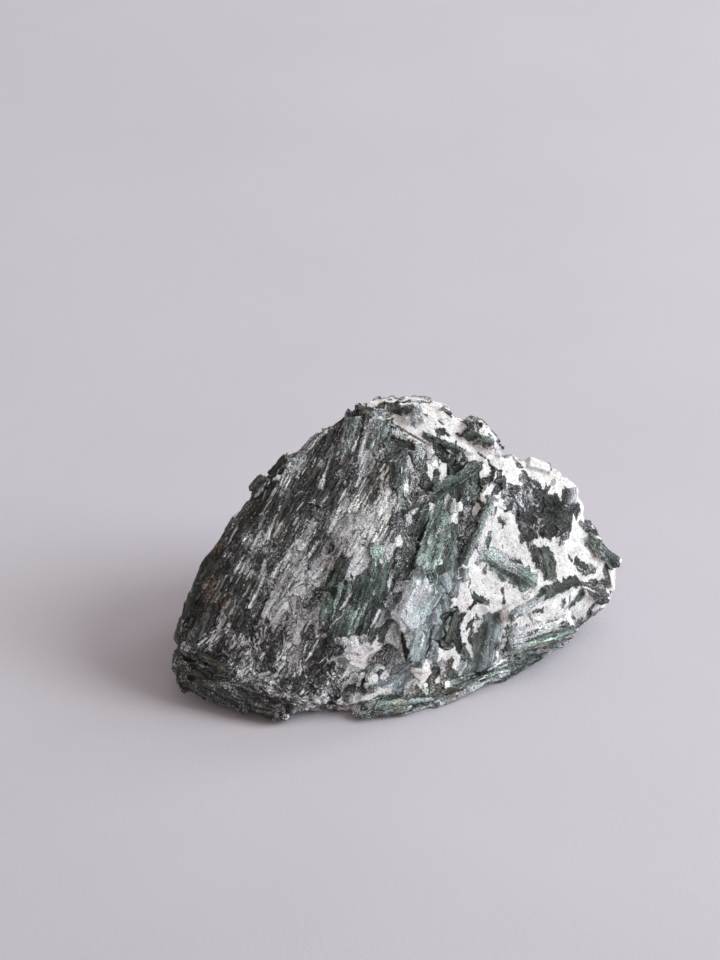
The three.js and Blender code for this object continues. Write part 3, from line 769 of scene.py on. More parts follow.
def sow_grains(surface):
    """Sows the named crystals first, and then grains of each ground's own minerals."""
    rng = np.random.default_rng(Seed.SOWING)
    grains = Grains()
    for crystal in (*BLOCKS, *BLADES):
        place, outward = crystal.seat(surface)
        grains.add(
            place, crystal.run, outward, crystal.half_sizes(), crystal.mineral, crystal.tone,
            crystal.proud * MM, crystal.finish,
        )
    grains.named = grains.count
    points, normals = surface.points, surface.normals
    candidates = rng.choice(len(points), TRIED, replace=False)
    for vertex, number in zip(candidates, ground_of(points[candidates])):
        ground = GROUNDS[number]
        length = rng.uniform(*ground.length) * MM
        width = rng.uniform(*ground.width) * MM
        tone = rng.uniform(*TONES)
        mineral = pick(ground.mix, rng)
        along = grain_on(ground, normals[vertex], rng)
        proud = rng.uniform(*STEPS) * ground.step * MM
        if grains.count == Grains.MOST or grains.crowded(points[vertex]):
            continue
        size = np.array([length / 2, width / 2, width * 0.8])
        finish = (ground.silver * rng.uniform(*SILVER_SHEENS), ground.dust * rng.uniform(*DUSTS))
        grains.add(points[vertex], along, normals[vertex], size, mineral, tone, proud, finish, number)
    return grains


# ---------------------------------------------------------------- mesh helpers


def read_rows(items, key, width, kind=float):
    """One property of every vertex or edge of a mesh, one row each."""
    flat = np.empty(len(items) * width, dtype=kind)
    items.foreach_get(key, flat)
    return flat.reshape(-1, width)


def read_points(mesh):
    """The vertices of a mesh, one row each."""
    return read_rows(mesh.vertices, "co", 3)


def read_normals(mesh):
    """The vertex normals of a mesh, one row each."""
    return read_rows(mesh.vertex_normals, "vector", 3)


def read_edges(mesh):
    """The two vertices of each edge."""
    return read_rows(mesh.edges, "vertices", 2, np.int32)


def spread(values, edges, rounds):
    """Averages values over the neighbours of each vertex, so many times over."""
    count = np.bincount(edges.ravel(), minlength=len(values)).astype(float)
    count = np.maximum(count, 1)
    for _ in range(rounds):
        total = np.zeros_like(values)
        for column in range(values.shape[1]):
            total[:, column] = np.bincount(
                edges[:, 0], values[edges[:, 1], column], len(values)
            ) + np.bincount(edges[:, 1], values[edges[:, 0], column], len(values))
        values = 0.5 * values + 0.5 * total / count[:, None]
    return values


def soft_normals(mesh, edges):
    """The vertex normals of a mesh, evened out."""
    return unit(spread(read_normals(mesh), edges, 4))


def hollowness(points, normals, edges, rounds):
    """How far each point lies below the mean of its neighbours, in metres."""
    return ((spread(points, edges, rounds) - points) * normals).sum(1)


def write_attribute(mesh, name, kind, values):
    """Stores one vector or colour for each vertex."""
    layer = mesh.attributes.new(name, kind, "POINT")
    field = "color" if kind == "FLOAT_COLOR" else "vector"
    layer.data.foreach_set(field, np.ascontiguousarray(values, np.float32).ravel())


def place_piece(piece, material):
    """Links a finished piece, gives it its material and fixes it to the stone's body."""
    bpy.context.scene.collection.objects.link(piece)
    piece.data.materials.append(material)
    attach(piece, BODY)


# ---------------------------------------------------------------- shader helpers


class Wire:
    """A socket whose sums and products add Math nodes."""

    def __init__(self, graph, socket):
        self.graph = graph
        self.socket = socket

    def __add__(self, other):
        return self.graph.math("ADD", self, other)

    def __radd__(self, other):
        return self.graph.math("ADD", other, self)

    def __sub__(self, other):
        return self.graph.math("SUBTRACT", self, other)

    def __rsub__(self, other):
        return self.graph.math("SUBTRACT", other, self)

    def __mul__(self, other):
        return self.graph.math("MULTIPLY", self, other)

    def __rmul__(self, other):
        return self.graph.math("MULTIPLY", other, self)

    def __abs__(self):
        return self.graph.math("ABSOLUTE", self)


class Graph:
    """The node tree of one material."""

    def __init__(self, name):
        self.material = bpy.data.materials.new(name)
        self.material.use_nodes = True
        self.tree = self.material.node_tree
        self.tree.nodes.clear()

    def node(self, kind, settings=None, sockets=None, output=0):
        """Adds one node: its settings first, then the values or links of its sockets."""
        made = self.tree.nodes.new(kind)
        for key, value in (settings or {}).items():
            if key == "stops":
                self.set_stops(made.color_ramp, value)
            else:
                setattr(made, key, value)
        for key, value in (sockets or {}).items():
            if isinstance(value, Wire):
                self.tree.links.new(value.socket, made.inputs[key])
            else:
                made.inputs[key].default_value = value
        return Wire(self, made.outputs[output])

    def set_stops(self, ramp, stops):
        """Sets a ramp's stops from pairs of place and grey level."""
        while len(ramp.elements) < len(stops):
            ramp.elements.new(1.0)
        for element, (place, level) in zip(ramp.elements, stops):
            element.position = place
            element.color = (level, level, level, 1)

    def math(self, operation, *values, clamp=False):
        """One Math node on values or links."""
        settings = {"operation": operation, "use_clamp": clamp}
        return self.node("ShaderNodeMath", settings, dict(enumerate(values)))

    def attribute(self, name, output):
        """An attribute of the mesh."""
        return self.node("ShaderNodeAttribute", {"attribute_name": name}, output=output)

    def place(self):
        """Where a point lies, in metres."""
        return self.node("ShaderNodeTexCoord", output="Object")

    def parts(self, vector):
        """The three numbers of a vector."""
        first = self.node("ShaderNodeSeparateXYZ", None, {0: vector}, "X")
        outputs = first.socket.node.outputs
        return first, Wire(self, outputs["Y"]), Wire(self, outputs["Z"])

    def ramp(self, value, *stops):
        """The grey level at a value, between stops."""
        return self.node("ShaderNodeValToRGB", {"stops": stops}, {"Fac": value}, "Color")

    def noise(self, vector, scale, detail, roughness):
        """Noise from 0 to 1."""
        sockets = {"Vector": vector, "Scale": scale, "Detail": detail, "Roughness": roughness}
        return self.node("ShaderNodeTexNoise", None, sockets, "Fac")

    def stretch(self, vector, amounts):
        """A vector with each of its numbers multiplied by its own amount."""
        sockets = {0: vector, 1: amounts}
        return self.node("ShaderNodeVectorMath", {"operation": "MULTIPLY"}, sockets, "Vector")

    def above(self, value, level, soft):
        """0 where the value is below the level and 1 where it is above by more than soft."""
        return self.math("MULTIPLY", value - level, 1 / soft, clamp=True)

    def blend(self, share, first, second, mode="MIX"):
        """The first colour with a share of the second mixed in or multiplied on."""
        settings = {"data_type": "RGBA", "blend_type": mode, "clamp_factor": True}
        sockets = {"Factor": share, 6: first, 7: second}
        return self.node("ShaderNodeMix", settings, sockets, 2)

    def finish(self, coloured, roughness, relief, others=None):
        """Ends the tree; relief holds the strength, the distance and the height of its bump."""
        sockets = dict(zip(("Strength", "Distance", "Height"), relief))
        bump = self.node("ShaderNodeBump", None, sockets, "Normal")
        sockets = {"Base Color": coloured, "Roughness": roughness, "Normal": bump, **(others or {})}
        shader = self.node("ShaderNodeBsdfPrincipled", None, sockets, "BSDF")
        end = self.tree.nodes.new("ShaderNodeOutputMaterial")
        self.tree.links.new(shader.socket, end.inputs["Surface"])
        return self.material


class StoneGraph(Graph):
    """The finish of every piece: grain colour, fibres, talc dust, grime and gloss, with painted light
    and shade: glints, sparkle, glow, and shade in pits, cracks and hollows.
    """

    # Noises that lie along the grain: lumps per millimetre on each axis, detail and roughness.
    ALONG_GRAIN = {
        # this noise sets painted light and shade inside glassy crystals
        "glow": ((0.13, 0.42, 0.42), 3.0, 0.6),
        "fibres": ((0.3, 2.6, 2.6), 4.0, 0.72),
        "chips": ((1.6, 3.3, 3.3), 3.0, 0.75),
        "scratches": ((0.16, 1.5, 1.5), 3.0, 0.6),
    }
    # Noises that don't: lumps per metre, detail and roughness.
    ALL_ROUND = {
        "specks": (2900.0, 3.0, 0.75),
        "patches": (230.0, 5.0, 0.65),
        "grit": (3500.0, 2.0, 0.7),
        "seams": (160.0, 5.0, 0.6),
        "soot": (800.0, 5.0, 0.8),
        "pepper": (2300.0, 1.0, 0.6),
        # fine specks of painted sparkle
        "salt": (2050.0, 1.0, 0.6),
        "hairlines": (130.0, 3.0, 0.6),
        "rust": (95.0, 6.0, 0.7),
    }
    # A shaded and a lit copy of a glassy crystal's colour: painted shade and painted light.
    SHADED_TINT = (0.3, 0.31, 0.3, 1)
    LIT_TINT = (1.9, 1.95, 1.82, 1)
    # Near black for the painted shade in fine pits.
    PIT_SHADE = (0.016, 0.018, 0.018, 1)
    SOOT = (0.06, 0.065, 0.06, 1)
    PEPPER = (0.03, 0.031, 0.03, 1)
    # Near black for dark cracks, partly painted shade, and for painted shade in hollows.
    CRACK_SHADE = (0.02, 0.018, 0.014, 1)
    # Makes up for the light that the dark coats take away.
    LIFT = (1.39, 1.39, 1.39, 1)

    def __init__(self, colours):
        super().__init__(STONE)
        self.sheen_colour = (*colours.silver, 1)
        self.talc_colour = (*colours.talc, 1)
        self.rust_colour = (*colours.rust, 1)
        self.mineral = self.attribute("mineral", "Color")
        self.fibre, self.crevice, self.gloss = self.parts(self.attribute("facts", "Vector"))
        self.silver, self.dust, self.joint = self.parts(self.attribute("dress", "Vector"))
        grain = self.attribute("grain", "Vector")
        place = self.place()
        self.noises = {}
        for name, (amounts, detail, roughness) in self.ALONG_GRAIN.items():
            self.noises[name] = self.noise(self.stretch(grain, amounts), 1.0, detail, roughness)
        for name, (scale, detail, roughness) in self.ALL_ROUND.items():
            self.noises[name] = self.noise(place, scale, detail, roughness)
        powdery = self.mixed(specks=0.6, patches=0.4) + self.dust * 0.12
        self.powder = self.above(powdery, 0.605, 0.025)

    def mixed(self, **shares):
        """The sum of so much of each noise."""
        first, *others = [self.noises[name] * share for name, share in shares.items()]
        for other in others:
            first = first + other
        return first

    def crystal(self):
        """The mineral's colour, with painted light and painted shade in its depths where it is glossy.
        """
        # the deep copy is the painted shade, the other the painted light
        deep = self.blend(1.0, self.mineral, self.SHADED_TINT, "MULTIPLY")
        lit_copy = self.blend(1.0, self.mineral, self.LIT_TINT, "MULTIPLY")
        glow_share = self.above(self.noises["glow"], 0.43, 0.2) * self.gloss + (1 - self.gloss) * 0.45
        return self.blend(glow_share, deep, lit_copy)

    def sheen(self):
        """Coats on a crystal: painted shade in fine pits, pale scratches along the grain and painted
        glints in the silvery sheen colour.
        """
        noises = self.noises
        # painted shade: near black in the fine pits between the fibres
        pits = 1 - noises["fibres"] * 0.3 - noises["chips"] * 0.4 - noises["specks"] * 0.3
        pit_shade = self.above(pits, 0.52, 0.03) * (self.fibre * 0.9)
        scratches = self.above(0.016 - abs(noises["scratches"] - 0.5), 0.0, 0.012)
        scratched = scratches * self.fibre * (0.25 + self.silver * 0.4)
        # painted glints: specks in the pale sheen colour that stand in for highlights on the fibres
        glinting = self.mixed(chips=0.4, fibres=0.15, specks=0.25, patches=0.2) + self.silver * 0.12
        painted_glints = self.above(glinting, 0.596, 0.018) * self.fibre
        return (
            (pit_shade, self.PIT_SHADE),
            (scratched, self.sheen_colour),
            (painted_glints, self.sheen_colour),
        )

    def dirt_and_sparkle(self):
        """Coats of talc dust, soot, dark pepper specks, painted sparkle in the silvery sheen colour, and
        brown hairlines in the talc.
        """
        soot = self.above(0.5 - self.noises["soot"], 0.085, 0.03)
        pepper = self.above(0.5 - self.noises["pepper"], 0.09, 0.04)
        # painted sparkle: fine specks in the pale sheen colour that stand in for tiny specular
        # highlights
        salt = self.above(self.noises["salt"] - 0.5, 0.115, 0.03)
        hairline = self.above(0.006 - abs(self.noises["hairlines"] - 0.5), 0.0, 0.006)
        return (
            (self.powder * 0.9, self.talc_colour),
            (soot * 0.62, self.SOOT),
            (pepper * (0.05 + self.fibre * 0.6), self.PEPPER),
            (salt * self.fibre * self.silver * 0.8, self.sheen_colour),
            (hairline * (1 - self.fibre) * 0.5, self.rust_colour),
        )

    def joints(self):
        """Coats on the joints: thin seams of talc, or open cracks with rust in them, whose dark is
        partly painted shade; and painted shade in the hollows.
        """
        seams = self.noises["seams"]
        near_joint = self.above(0.3 - self.joint, 0.0, 0.12)
        talc_seam = near_joint * self.above(seams + self.dust * 0.15, 0.585, 0.03)
        crack_shade = near_joint * self.above(0.5 - seams, -0.03, 0.03)
        rusty = self.above(self.noises["rust"], 0.6, 0.08)
        return (
            (talc_seam * 0.85, self.talc_colour),
            # dark cracks that are partly painted shade, then painted shade in the hollows
            (crack_shade * (0.1 + self.fibre * 0.75), self.CRACK_SHADE),
            (self.crevice * 0.85, self.CRACK_SHADE),
            (rusty * 0.3, self.rust_colour),
        )

    def complete(self):
        """The finished material."""
        coloured = self.crystal()
        for share, colour in (*self.sheen(), *self.dirt_and_sparkle(), *self.joints()):
            coloured = self.blend(share, coloured, colour)
        grit, specks = self.noises["grit"], self.noises["specks"]
        fine = self.ramp(grit, (0.42, 0.4), (0.57, 1.0))
        coloured = self.blend(0.5 + self.fibre * 0.5, coloured, fine, "MULTIPLY")
        coloured = self.blend(1.0, coloured, self.LIFT, "MULTIPLY")
        roughness = 0.78 - self.gloss * (1 - self.powder) * 0.45 + (grit - 0.5) * 0.3
        height = (
            self.fibre * self.mixed(fibres=0.5, chips=0.9)
            + grit * 0.3
            + specks * 0.4
            + (1 - self.fibre) * specks * 0.3
        )
        surface = {"IOR": 1.42, "Specular IOR Level": 0.4}
        return self.finish(coloured, roughness, (0.9, 0.0006, height), surface)


def paper_material(colour):
    """The studio's matt paper, with painted shade that makes it a little darker towards the front left.
    """
    graph = Graph("matt paper")
    place = graph.place()
    tooth = graph.noise(place, 900.0, 6.0, 0.6)
    cloud = graph.noise(place, 14.0, 3.0, 0.5)
    tone = graph.ramp(cloud, (0.3, 0.965), (0.7, 1.0))
    coloured = graph.blend(1.0, (*colour, 1), tone, "MULTIPLY")
    across, back, _ = graph.parts(place)
    # painted shade: the paper darkens towards the front left
    front = graph.above(0 - back * 0.8 - across * 0.4, 0.06, 0.12)
    coloured = graph.blend(front * 0.16, coloured, (0.02, 0.02, 0.02, 1))
    return graph.finish(coloured, 0.9, (0.25, 0.0003, tooth))


def shared_material(context):
    """The one stone material, made the first time that a piece asks for it."""
    return bpy.data.materials.get(STONE) or StoneGraph(context.scene.specimen_finish).complete()


# ---------------------------------------------------------------- settings


def from_screen(red, green, blue):
    """A colour as a screen shows it, from 0 to 255, made linear."""
    values = (red / 255, green / 255, blue / 255)
    return tuple(v / 12.92 if v <= 0.04045 else ((v + 0.055) / 1.055) ** 2.4 for v in values)


def colour_setting(name, description, screen):
    """A setting that holds a colour, given as a screen shows it."""
    return bpy.props.FloatVectorProperty(
        name=name,
        description=description,
        subtype="COLOR",
        size=3,
        min=0,
        max=1,
        default=from_screen(*screen),
    )


def length_setting(name, description, length):
    """A setting that holds a length in metres."""
    return bpy.props.FloatProperty(
        name=name, description=description, default=length, subtype="DISTANCE", unit="LENGTH"
    )


class SpecimenFinish(bpy.types.PropertyGroup):
    """Mean colours of the minerals."""

    talc: colour_setting("Talc", "The white matrix", (223, 219, 223))
    # The silvery colour of silky fibres, with their sheen painted in as colour.
    silver: colour_setting("Silver", "Silky fibres seen along their length", (222, 224, 229))
    pale_green: colour_setting("Pale green", "Fresh blades", (130, 145, 141))
    green: colour_setting("Green", "Ordinary blades", (82, 98, 89))
    dark_green: colour_setting("Dark green", "Thick blades", (41, 54, 48))
    blue_grey: colour_setting("Blue-grey", "Plates with a sheen", (134, 144, 150))
    slate: colour_setting("Slate", "Dark fibrous stone", (58, 57, 62))
    black: colour_setting("Black", "Crystals seen end on", (24, 27, 26))
    olive: colour_setting("Olive", "Weathered fibres", (86, 84, 75))
    brown: colour_setting("Brown", "Stained stone", (88, 76, 64))
    rust: colour_setting("Rust", "Stains in the joints", (150, 112, 74))


class SpecimenSkin(bpy.types.PropertyGroup):
    """Sizes of the stone's skin."""

    voxel: length_setting("Mesh size", "Edge length of the skin's mesh", 0.28 * MM)
    step: length_setting("Step", "How far a grain's face may stand off the solid", 1.2 * MM)
    joint: length_setting("Joint", "Depth of the groove between grains", 0.08 * MM)


class SpecimenStudio(bpy.types.PropertyGroup):
    """The paper, the lights and the camera."""

    paper: colour_setting("Paper", "The sweep under and behind the stone", (197, 192, 198))
    key: bpy.props.FloatProperty(
        name="Key light", description="Power of the large light on the right", default=60.0, unit="POWER"
    )
    back: bpy.props.FloatProperty(
        name="Back light", description="Power of the light behind as a share of the key", default=0.7
    )
    fill: bpy.props.FloatProperty(
        name="Fill", description="Strength of the light from all round", default=0.54
    )
    tilt: bpy.props.FloatProperty(
        name="Camera height",
        description="Angle of the camera above the surface",
        default=math.radians(30),
        subtype="ANGLE",
        unit="ROTATION",
    )
    distance: length_setting("Camera distance", "From the camera to the stone's middle", 0.6)


# ---------------------------------------------------------------- skin


def merged_copy(node):
    """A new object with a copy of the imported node's mesh, its loose corners merged."""
    made = bmesh.new()
    made.from_mesh(node.data)
    bmesh.ops.remove_doubles(made, verts=made.verts, dist=1e-6)
    mesh = bpy.data.meshes.new("skin base")
    made.to_mesh(mesh)
    made.free()
    return bpy.data.objects.new("skin base", mesh)


def remeshed(piece, size):
    """The mesh of a piece after an even remesh."""
    bpy.context.scene.collection.objects.link(piece)
    modifier = piece.modifiers.new("even", "REMESH")
    modifier.mode = "VOXEL"
    modifier.voxel_size = size
    modifier.use_smooth_shade = True
    graph = bpy.context.evaluated_depsgraph_get()
    mesh = bpy.data.meshes.new_from_object(piece.evaluated_get(graph))
    old = piece.data
    bpy.data.objects.remove(piece)
    bpy.data.meshes.remove(old)
    return mesh


# Each round of filling lifts a point towards the mean of what lies round it, up to so many
# edges away, but leaves it this far below, and never lifts it by more than the most.
FILL_ROUNDS = 6
FILL_REACH = 36
FILL_LEFT = 0.15 * MM
FILL_MOST = 2 * MM


def fill_hollows(mesh):
    """Makes the deep narrow hollows of a mesh shallow, except those that stay open."""
    points = read_points(mesh)
    edges = read_edges(mesh)
    normals = soft_normals(mesh, edges)
    fillable = np.ones(len(points))
    for across, back, up, reach in OPEN_HOLLOWS:
        far = np.linalg.norm(points - spot(across, back, up), axis=1)
        fillable *= np.clip(far / (reach * MM) - 1, 0, 1)
    for _ in range(FILL_ROUNDS):
        rise = hollowness(points, normals, edges, FILL_REACH)
        lift = np.clip(rise - FILL_LEFT, 0, FILL_MOST) * fillable
        points = points + normals * lift[:, None]
    mesh.vertices.foreach_set("co", points.ravel())


def pose_on(place, along, outward):
    """The matrix that lays a crystal at a place, its X along the grain and its Z out."""
    across = unit(np.cross(outward, along))
    along = np.cross(across, outward)
    rows = [[along[i], across[i], outward[i], place[i]] for i in range(3)]
    return Matrix(rows + [[0, 0, 0, 1]])


# A place this far out of the stone is clear of it, in metres.
CLEAR = 0.05
# The least and the greatest length of a lath as shares of its block's, how much wider it is
# than its share of the block, and its bevel as a share of its width.
LATH_LENGTHS = (0.86, 1.06)
LATH_OVERLAP = 1.08
LATH_BEVEL = 0.16
# How far a lath's ends may lean, as a slope, and how much higher or lower its top may be, in
# millimetres.
LATH_ASKEW = 0.35
LATH_CROWN = 0.3


def build_up(mesh):
    """Adds the crystals that stand clear of the solid to a mesh, as closed laths that cross it."""
    made = bmesh.new()
    made.from_mesh(mesh)
    tree = BVHTree.FromBMesh(made)
    rng = np.random.default_rng(Seed.LATHS)
    for block in BLOCKS:
        place, outward = block.middle, block.facing
        if block.raised is not None:
            hit, normal, _, _ = tree.ray_cast(Vector(place + outward * CLEAR), Vector(-outward))
            outward = unit(outward + np.array(normal))
            place = np.array(hit) + outward * (block.raised - block.depth / 2) * MM
        pose = pose_on(place, unit(block.run), outward)
        share = block.width / block.laths * MM
        for number in range(block.laths):
            aside = (number - (block.laths - 1) / 2) * share
            length = block.length * rng.uniform(*LATH_LENGTHS)
            add_lath(made, pose, aside, (length, share * LATH_OVERLAP, block.depth * MM), rng)
    made.to_mesh(mesh)
    made.free()


def add_lath(made, pose, aside, size, rng):
    """Adds one closed lath to a bmesh: its upper edges bevelled, its ends broken off askew."""
    cube = bmesh.ops.create_cube(made, size=1.0)["verts"]
    askew = rng.uniform(-LATH_ASKEW, LATH_ASKEW, 2)
    crown = rng.uniform(-LATH_CROWN, LATH_CROWN) * MM
    for vert in cube:
        x, y, z = vert.co * 2
        vert.co.x = (x + askew[int(x > 0)] * y * size[1] / size[0]) * size[0] / 2
        vert.co.y = y * size[1] / 2
        vert.co.z = z * size[2] / 2 + crown * (z > 0)
    edges = {edge for vert in cube for edge in vert.link_edges}
    upper = [edge for edge in edges if all(vert.co.z > 0 for vert in edge.verts)]
    bevelled = bmesh.ops.bevel(
        made, geom=upper, offset=LATH_BEVEL * size[1], segments=1, affect="EDGES", profile=0.5
    )
    verts = {vert for vert in cube if vert.is_valid} | set(bevelled["verts"])
    for vert in verts:
        vert.co = pose @ Vector((vert.co.x, vert.co.y + aside, vert.co.z))


def mineral_table(finish):
    """Colour, fibre and gloss of each mineral by name."""
    return {
        name: (np.array(getattr(finish, name)), FIBRE[name], GLOSS[name]) for name in MINERALS
    }


def bell(gap, width):
    """1 on a joint, falling to nothing within about twice so many millimetres of it."""
    return np.exp(-((gap / (width * MM)) ** 2))


class Surface:
    """The skin while it is made: its mesh, its grains and what is known of each point."""

    # Length and width of the flecks in a named crystal, in millimetres.
    STRAND = (5, 0.6)
    # Most lean of a grain's face along and across it, as slopes.
    LEAN = (0.03, 0.14)
    # Length, width and depth of a chip and of the ridges along a grain, in millimetres.
    CHIP = np.array([1.9, 0.9, 0.9])
    RIDGE = np.array([3.5, 0.9, 0.9])
    # How much each raises or lowers the skin, in millimetres, and how far all of it is sunk.
    CHIP_HEIGHT = 0.2
    CHIP_TILT = 0.22
    RIDGE_HEIGHT = 0.1
    FLECK_HEIGHT = 0.14
    LUMP_SIZE, LUMP_HEIGHT = 1.6, 0.36
    WAVE_SIZE, WAVE_HEIGHT = 9, 0.75
    SUNK = 0.15
    # The foot stays flat up to here.
    FOOT = 1.2 * MM
    # How far joints wander in and out, and how far they jump from chip to chip.
    WARP_SIZE, WARP = 1.2, 0.2
    JUMP_SIZE, JUMP = 0.9, 0.14
    # How strongly broad bands of silver sheen and dark run through the flecks, and through the
    # tones of the named crystals and of the others.
    BANDING = 2.6
    SWAY_NAMED = 0.7
    SWAY_SOWN = 1.6
    # Hollows this deep, fine or broad, get the full painted shade.
    FINE_HOLLOW = 0.07 * MM
    BROAD_HOLLOW = 0.4 * MM

    def __init__(self, mesh):
        self.mesh = mesh
        self.points = read_points(mesh)
        self.edges = read_edges(mesh)
        self.normals = soft_normals(mesh, self.edges)

    def under(self, place, facing):
        """The surface point nearest to the line through place along facing, on the near side."""
        offset = self.points - place
        height = offset @ facing
        aside = np.linalg.norm(offset - height[:, None] * facing, axis=1)
        close = aside < 1.2 * MM
        if not close.any():
            close = aside < aside.min() * 1.5
        index = np.where(close)[0][height[close].argmax()]
        return self.points[index], self.normals[index]

    def cloud(self):
        """Broad bands along the flank: above 0 where silver sheen gathers, below 0 where it is dark."""
        along = unit(FLANK_GRAIN)
        strands = self.points / (4 * MM) @ (np.eye(3) - 0.65 * np.outer(along, along))
        fine = 0.6 * rough_noise(strands, Seed.CLOUD, 3)
        return fine + 0.9 * rough_noise(strands * 0.36, Seed.BROAD_CLOUD, 2)

    def divide(self):
        """Sows the grains and gives each point its own, with ragged and chipped joints."""
        self.grains = sow_grains(self)
        points = self.points
        warp = columns(
            *(lumps(points, self.WARP_SIZE, Seed.JOINT_WARP + axis, 3) for axis in range(3))
        )
        number, _ = chipped(points / (self.JUMP_SIZE * MM), Seed.JOINT_CHIPS)
        jump = columns(*(np.sin(number * turns) for turns in (211, 307, 401)))
        shifted = points + (self.WARP * warp + self.JUMP * jump) * MM
        self.own, self.gap = self.grains.nearest(shifted)
        self.local = self.grains.local(points, self.own)

    def fleck(self, table):
        """Finds each point's mineral, and a settled number from 0 to 1 for its fleck."""
        own, local = self.own, self.local
        kinds = self.grains.minerals[own]
        numbers = cell_number(columns(own, own * 0, own * 0), Seed.GRAIN_NUMBER)
        wander = 0.45 * lumps(self.points, 1.6, Seed.FLECK_WANDER, 3)
        ragged = 0.5 * lumps(self.points, 0.9, Seed.FLECK_ENDS, 2)
        cloud = self.cloud()
        beds = [(number, bed.fleck, bed.mix) for number, bed in enumerate(GROUNDS) if bed.fleck]
        beds += [(strand_number(name), self.STRAND, mix) for name, mix in STRANDS.items()]
        for number, (length, width), mix in beds:
            rows = np.where(self.grains.grounds[own] == number)[0]
            aside = np.floor(local[rows, 1] / (width * MM) + wander[rows])
            tag = columns(aside, own[rows], aside * 0)
            start = cell_number(tag, Seed.FLECK_START) * 3
            tag[:, 2] = np.floor(local[rows, 0] / (length * MM) + start + ragged[rows])
            chance = cell_number(tag, Seed.FLECK_MINERAL)
            if number >= 0:
                chance = chance ** np.exp(self.BANDING * cloud[rows])
            weights = np.array([mix.get(name, 0) for name in MINERALS], float)
            kinds[rows] = np.searchsorted(np.cumsum(weights) / weights.sum(), chance)
            numbers[rows] = cell_number(tag, Seed.FLECK_NUMBER)
        kinds = np.minimum(kinds, len(MINERALS) - 1)
        self.flecks = numbers
        self.colours, self.fibre, self.gloss = (
            np.array([table[name][column] for name in MINERALS])[kinds] for column in range(3)
        )

    def relief(self, settings):
        """How far each point moves out, in metres."""
        own, local, fibre = self.own, self.local, self.fibre
        rng = np.random.default_rng(Seed.LEAN)
        lean = rng.uniform(-1, 1, (Grains.MOST, 2)) * self.LEAN
        lean[: len(BLOCKS)] = 0
        facet = self.grains.proud[own] + (lean[own] * local[:, :2]).sum(1)
        # a grain's face is levelled off, except on the blocks, which have their own
        level = np.where(own < len(BLOCKS), 0.0, 0.3)
        facet = facet - level * local[:, 2]
        facet = np.clip(facet, -settings.step, 0.8 * settings.step) * np.clip(fibre * 1.5, 0, 1)
        groove = bell(self.gap, 0.25) * settings.joint * fibre
        shift = own[:, None] * 3.7
        chip, step = chipped(local / (self.CHIP * MM) + shift, Seed.CHIPS)
        tilt = columns(np.sin(chip * 417), np.cos(chip * 713))
        chips = (chip - 0.5) * self.CHIP_HEIGHT * MM
        chips = chips + (tilt * step[:, :2]).sum(1) * self.CHIP_TILT * MM
        strands = local / (self.RIDGE * MM)
        ridges = 1 - 2 * np.abs(rough_noise(strands + shift, Seed.RIDGES, 2))
        lumpy = lumps(self.points, self.LUMP_SIZE, Seed.LUMPS, 4) * self.LUMP_HEIGHT * MM
        wave = lumps(self.points, self.WAVE_SIZE, Seed.WAVE, 3) * self.WAVE_HEIGHT * MM
        fleck_step = (self.flecks - 0.5) * self.FLECK_HEIGHT * MM
        fibrous = fibre * (fleck_step + chips + ridges * self.RIDGE_HEIGHT * MM)
        return facet - groove + fibrous + (1 - 0.6 * fibre) * lumpy + wave - self.SUNK * MM

    def shape(self, settings):
        """Moves the points out or in, less and less towards the flat foot."""
        flat = np.clip(self.points[:, 2] / self.FOOT, 0, 1)
        moved = self.points + self.normals * (self.relief(settings) * flat)[:, None]
        self.points = np.clip(moved, LOW, HIGH)
        self.mesh.vertices.foreach_set("co", self.points.ravel())
        self.mesh.update()

    def paint(self, talc):
        """Writes the attributes that the material reads."""
        own, gap, fibre, grains = self.own, self.gap, self.fibre, self.grains
        cloud = self.cloud()
        sway = np.where(own < grains.named, self.SWAY_NAMED, self.SWAY_SOWN)
        tones = grains.tones[own] * (0.7 + 0.6 * self.flecks) * np.clip(1 + sway * cloud, 0.25, 2.1)
        tones = tones * fibre + (0.9 + 0.2 * self.flecks) * (1 - fibre)
        normals = unit(read_normals(self.mesh))
        # painted shade: points in fine and broad hollows are darkened, and the joints a little too
        near = hollowness(self.points, normals, self.edges, 2) / self.FINE_HOLLOW
        broad = hollowness(self.points, normals, self.edges, 14) / self.BROAD_HOLLOW
        joint = bell(gap, 0.2) * 0.1 * fibre
        crevice = np.clip(near, 0, 1) * 0.2 + np.clip(broad, 0, 1) * 0.55
        crevice = np.clip(crevice * (0.4 + 0.6 * fibre) + joint, 0, 1)
        worn = np.clip(-near, 0, 1) * 0.5 + np.clip(-broad, 0, 1) * 0.5
        colours = self.colours * tones[:, None]
        veined = lumps(self.points, 3.5, Seed.VEINS, 4)
        vein = bell(gap, 0.3) * np.clip(veined * 6 - 0.6, 0, 1)
        vein *= np.clip(grains.finish[own, 1] * 3 - 0.8, 0, 0.9)
        colours = colours + (talc - colours) * (vein * (normals[:, 2] > -0.3))[:, None]
        crevice = crevice * (1 - vein)
        colours = colours + (1 - colours) * (worn * 0.12)[:, None]
        rgba = np.concatenate([np.clip(colours, 0, 1), np.ones((len(colours), 1))], axis=1)
        offset = cell_number(columns(own, own * 0 + 3, own * 0), Seed.GRAIN_OFFSET) * 60
        silver, dust = grains.finish[own].T
        silver = silver * np.clip(0.6 + 3 * cloud, 0, 2)
        dust = dust * np.clip(0.8 + 1.2 * cloud, 0.1, 1.8) + 0.3 * worn
        write_attribute(self.mesh, "mineral", "FLOAT_COLOR", rgba)
        for name, values in (
            ("grain", self.local / MM + offset[:, None]),
            ("facts", columns(fibre, crevice, self.gloss)),
            ("dress", columns(silver, dust, np.clip(gap / MM, 0, 2))),
        ):
            write_attribute(self.mesh, name, "FLOAT_VECTOR", values)


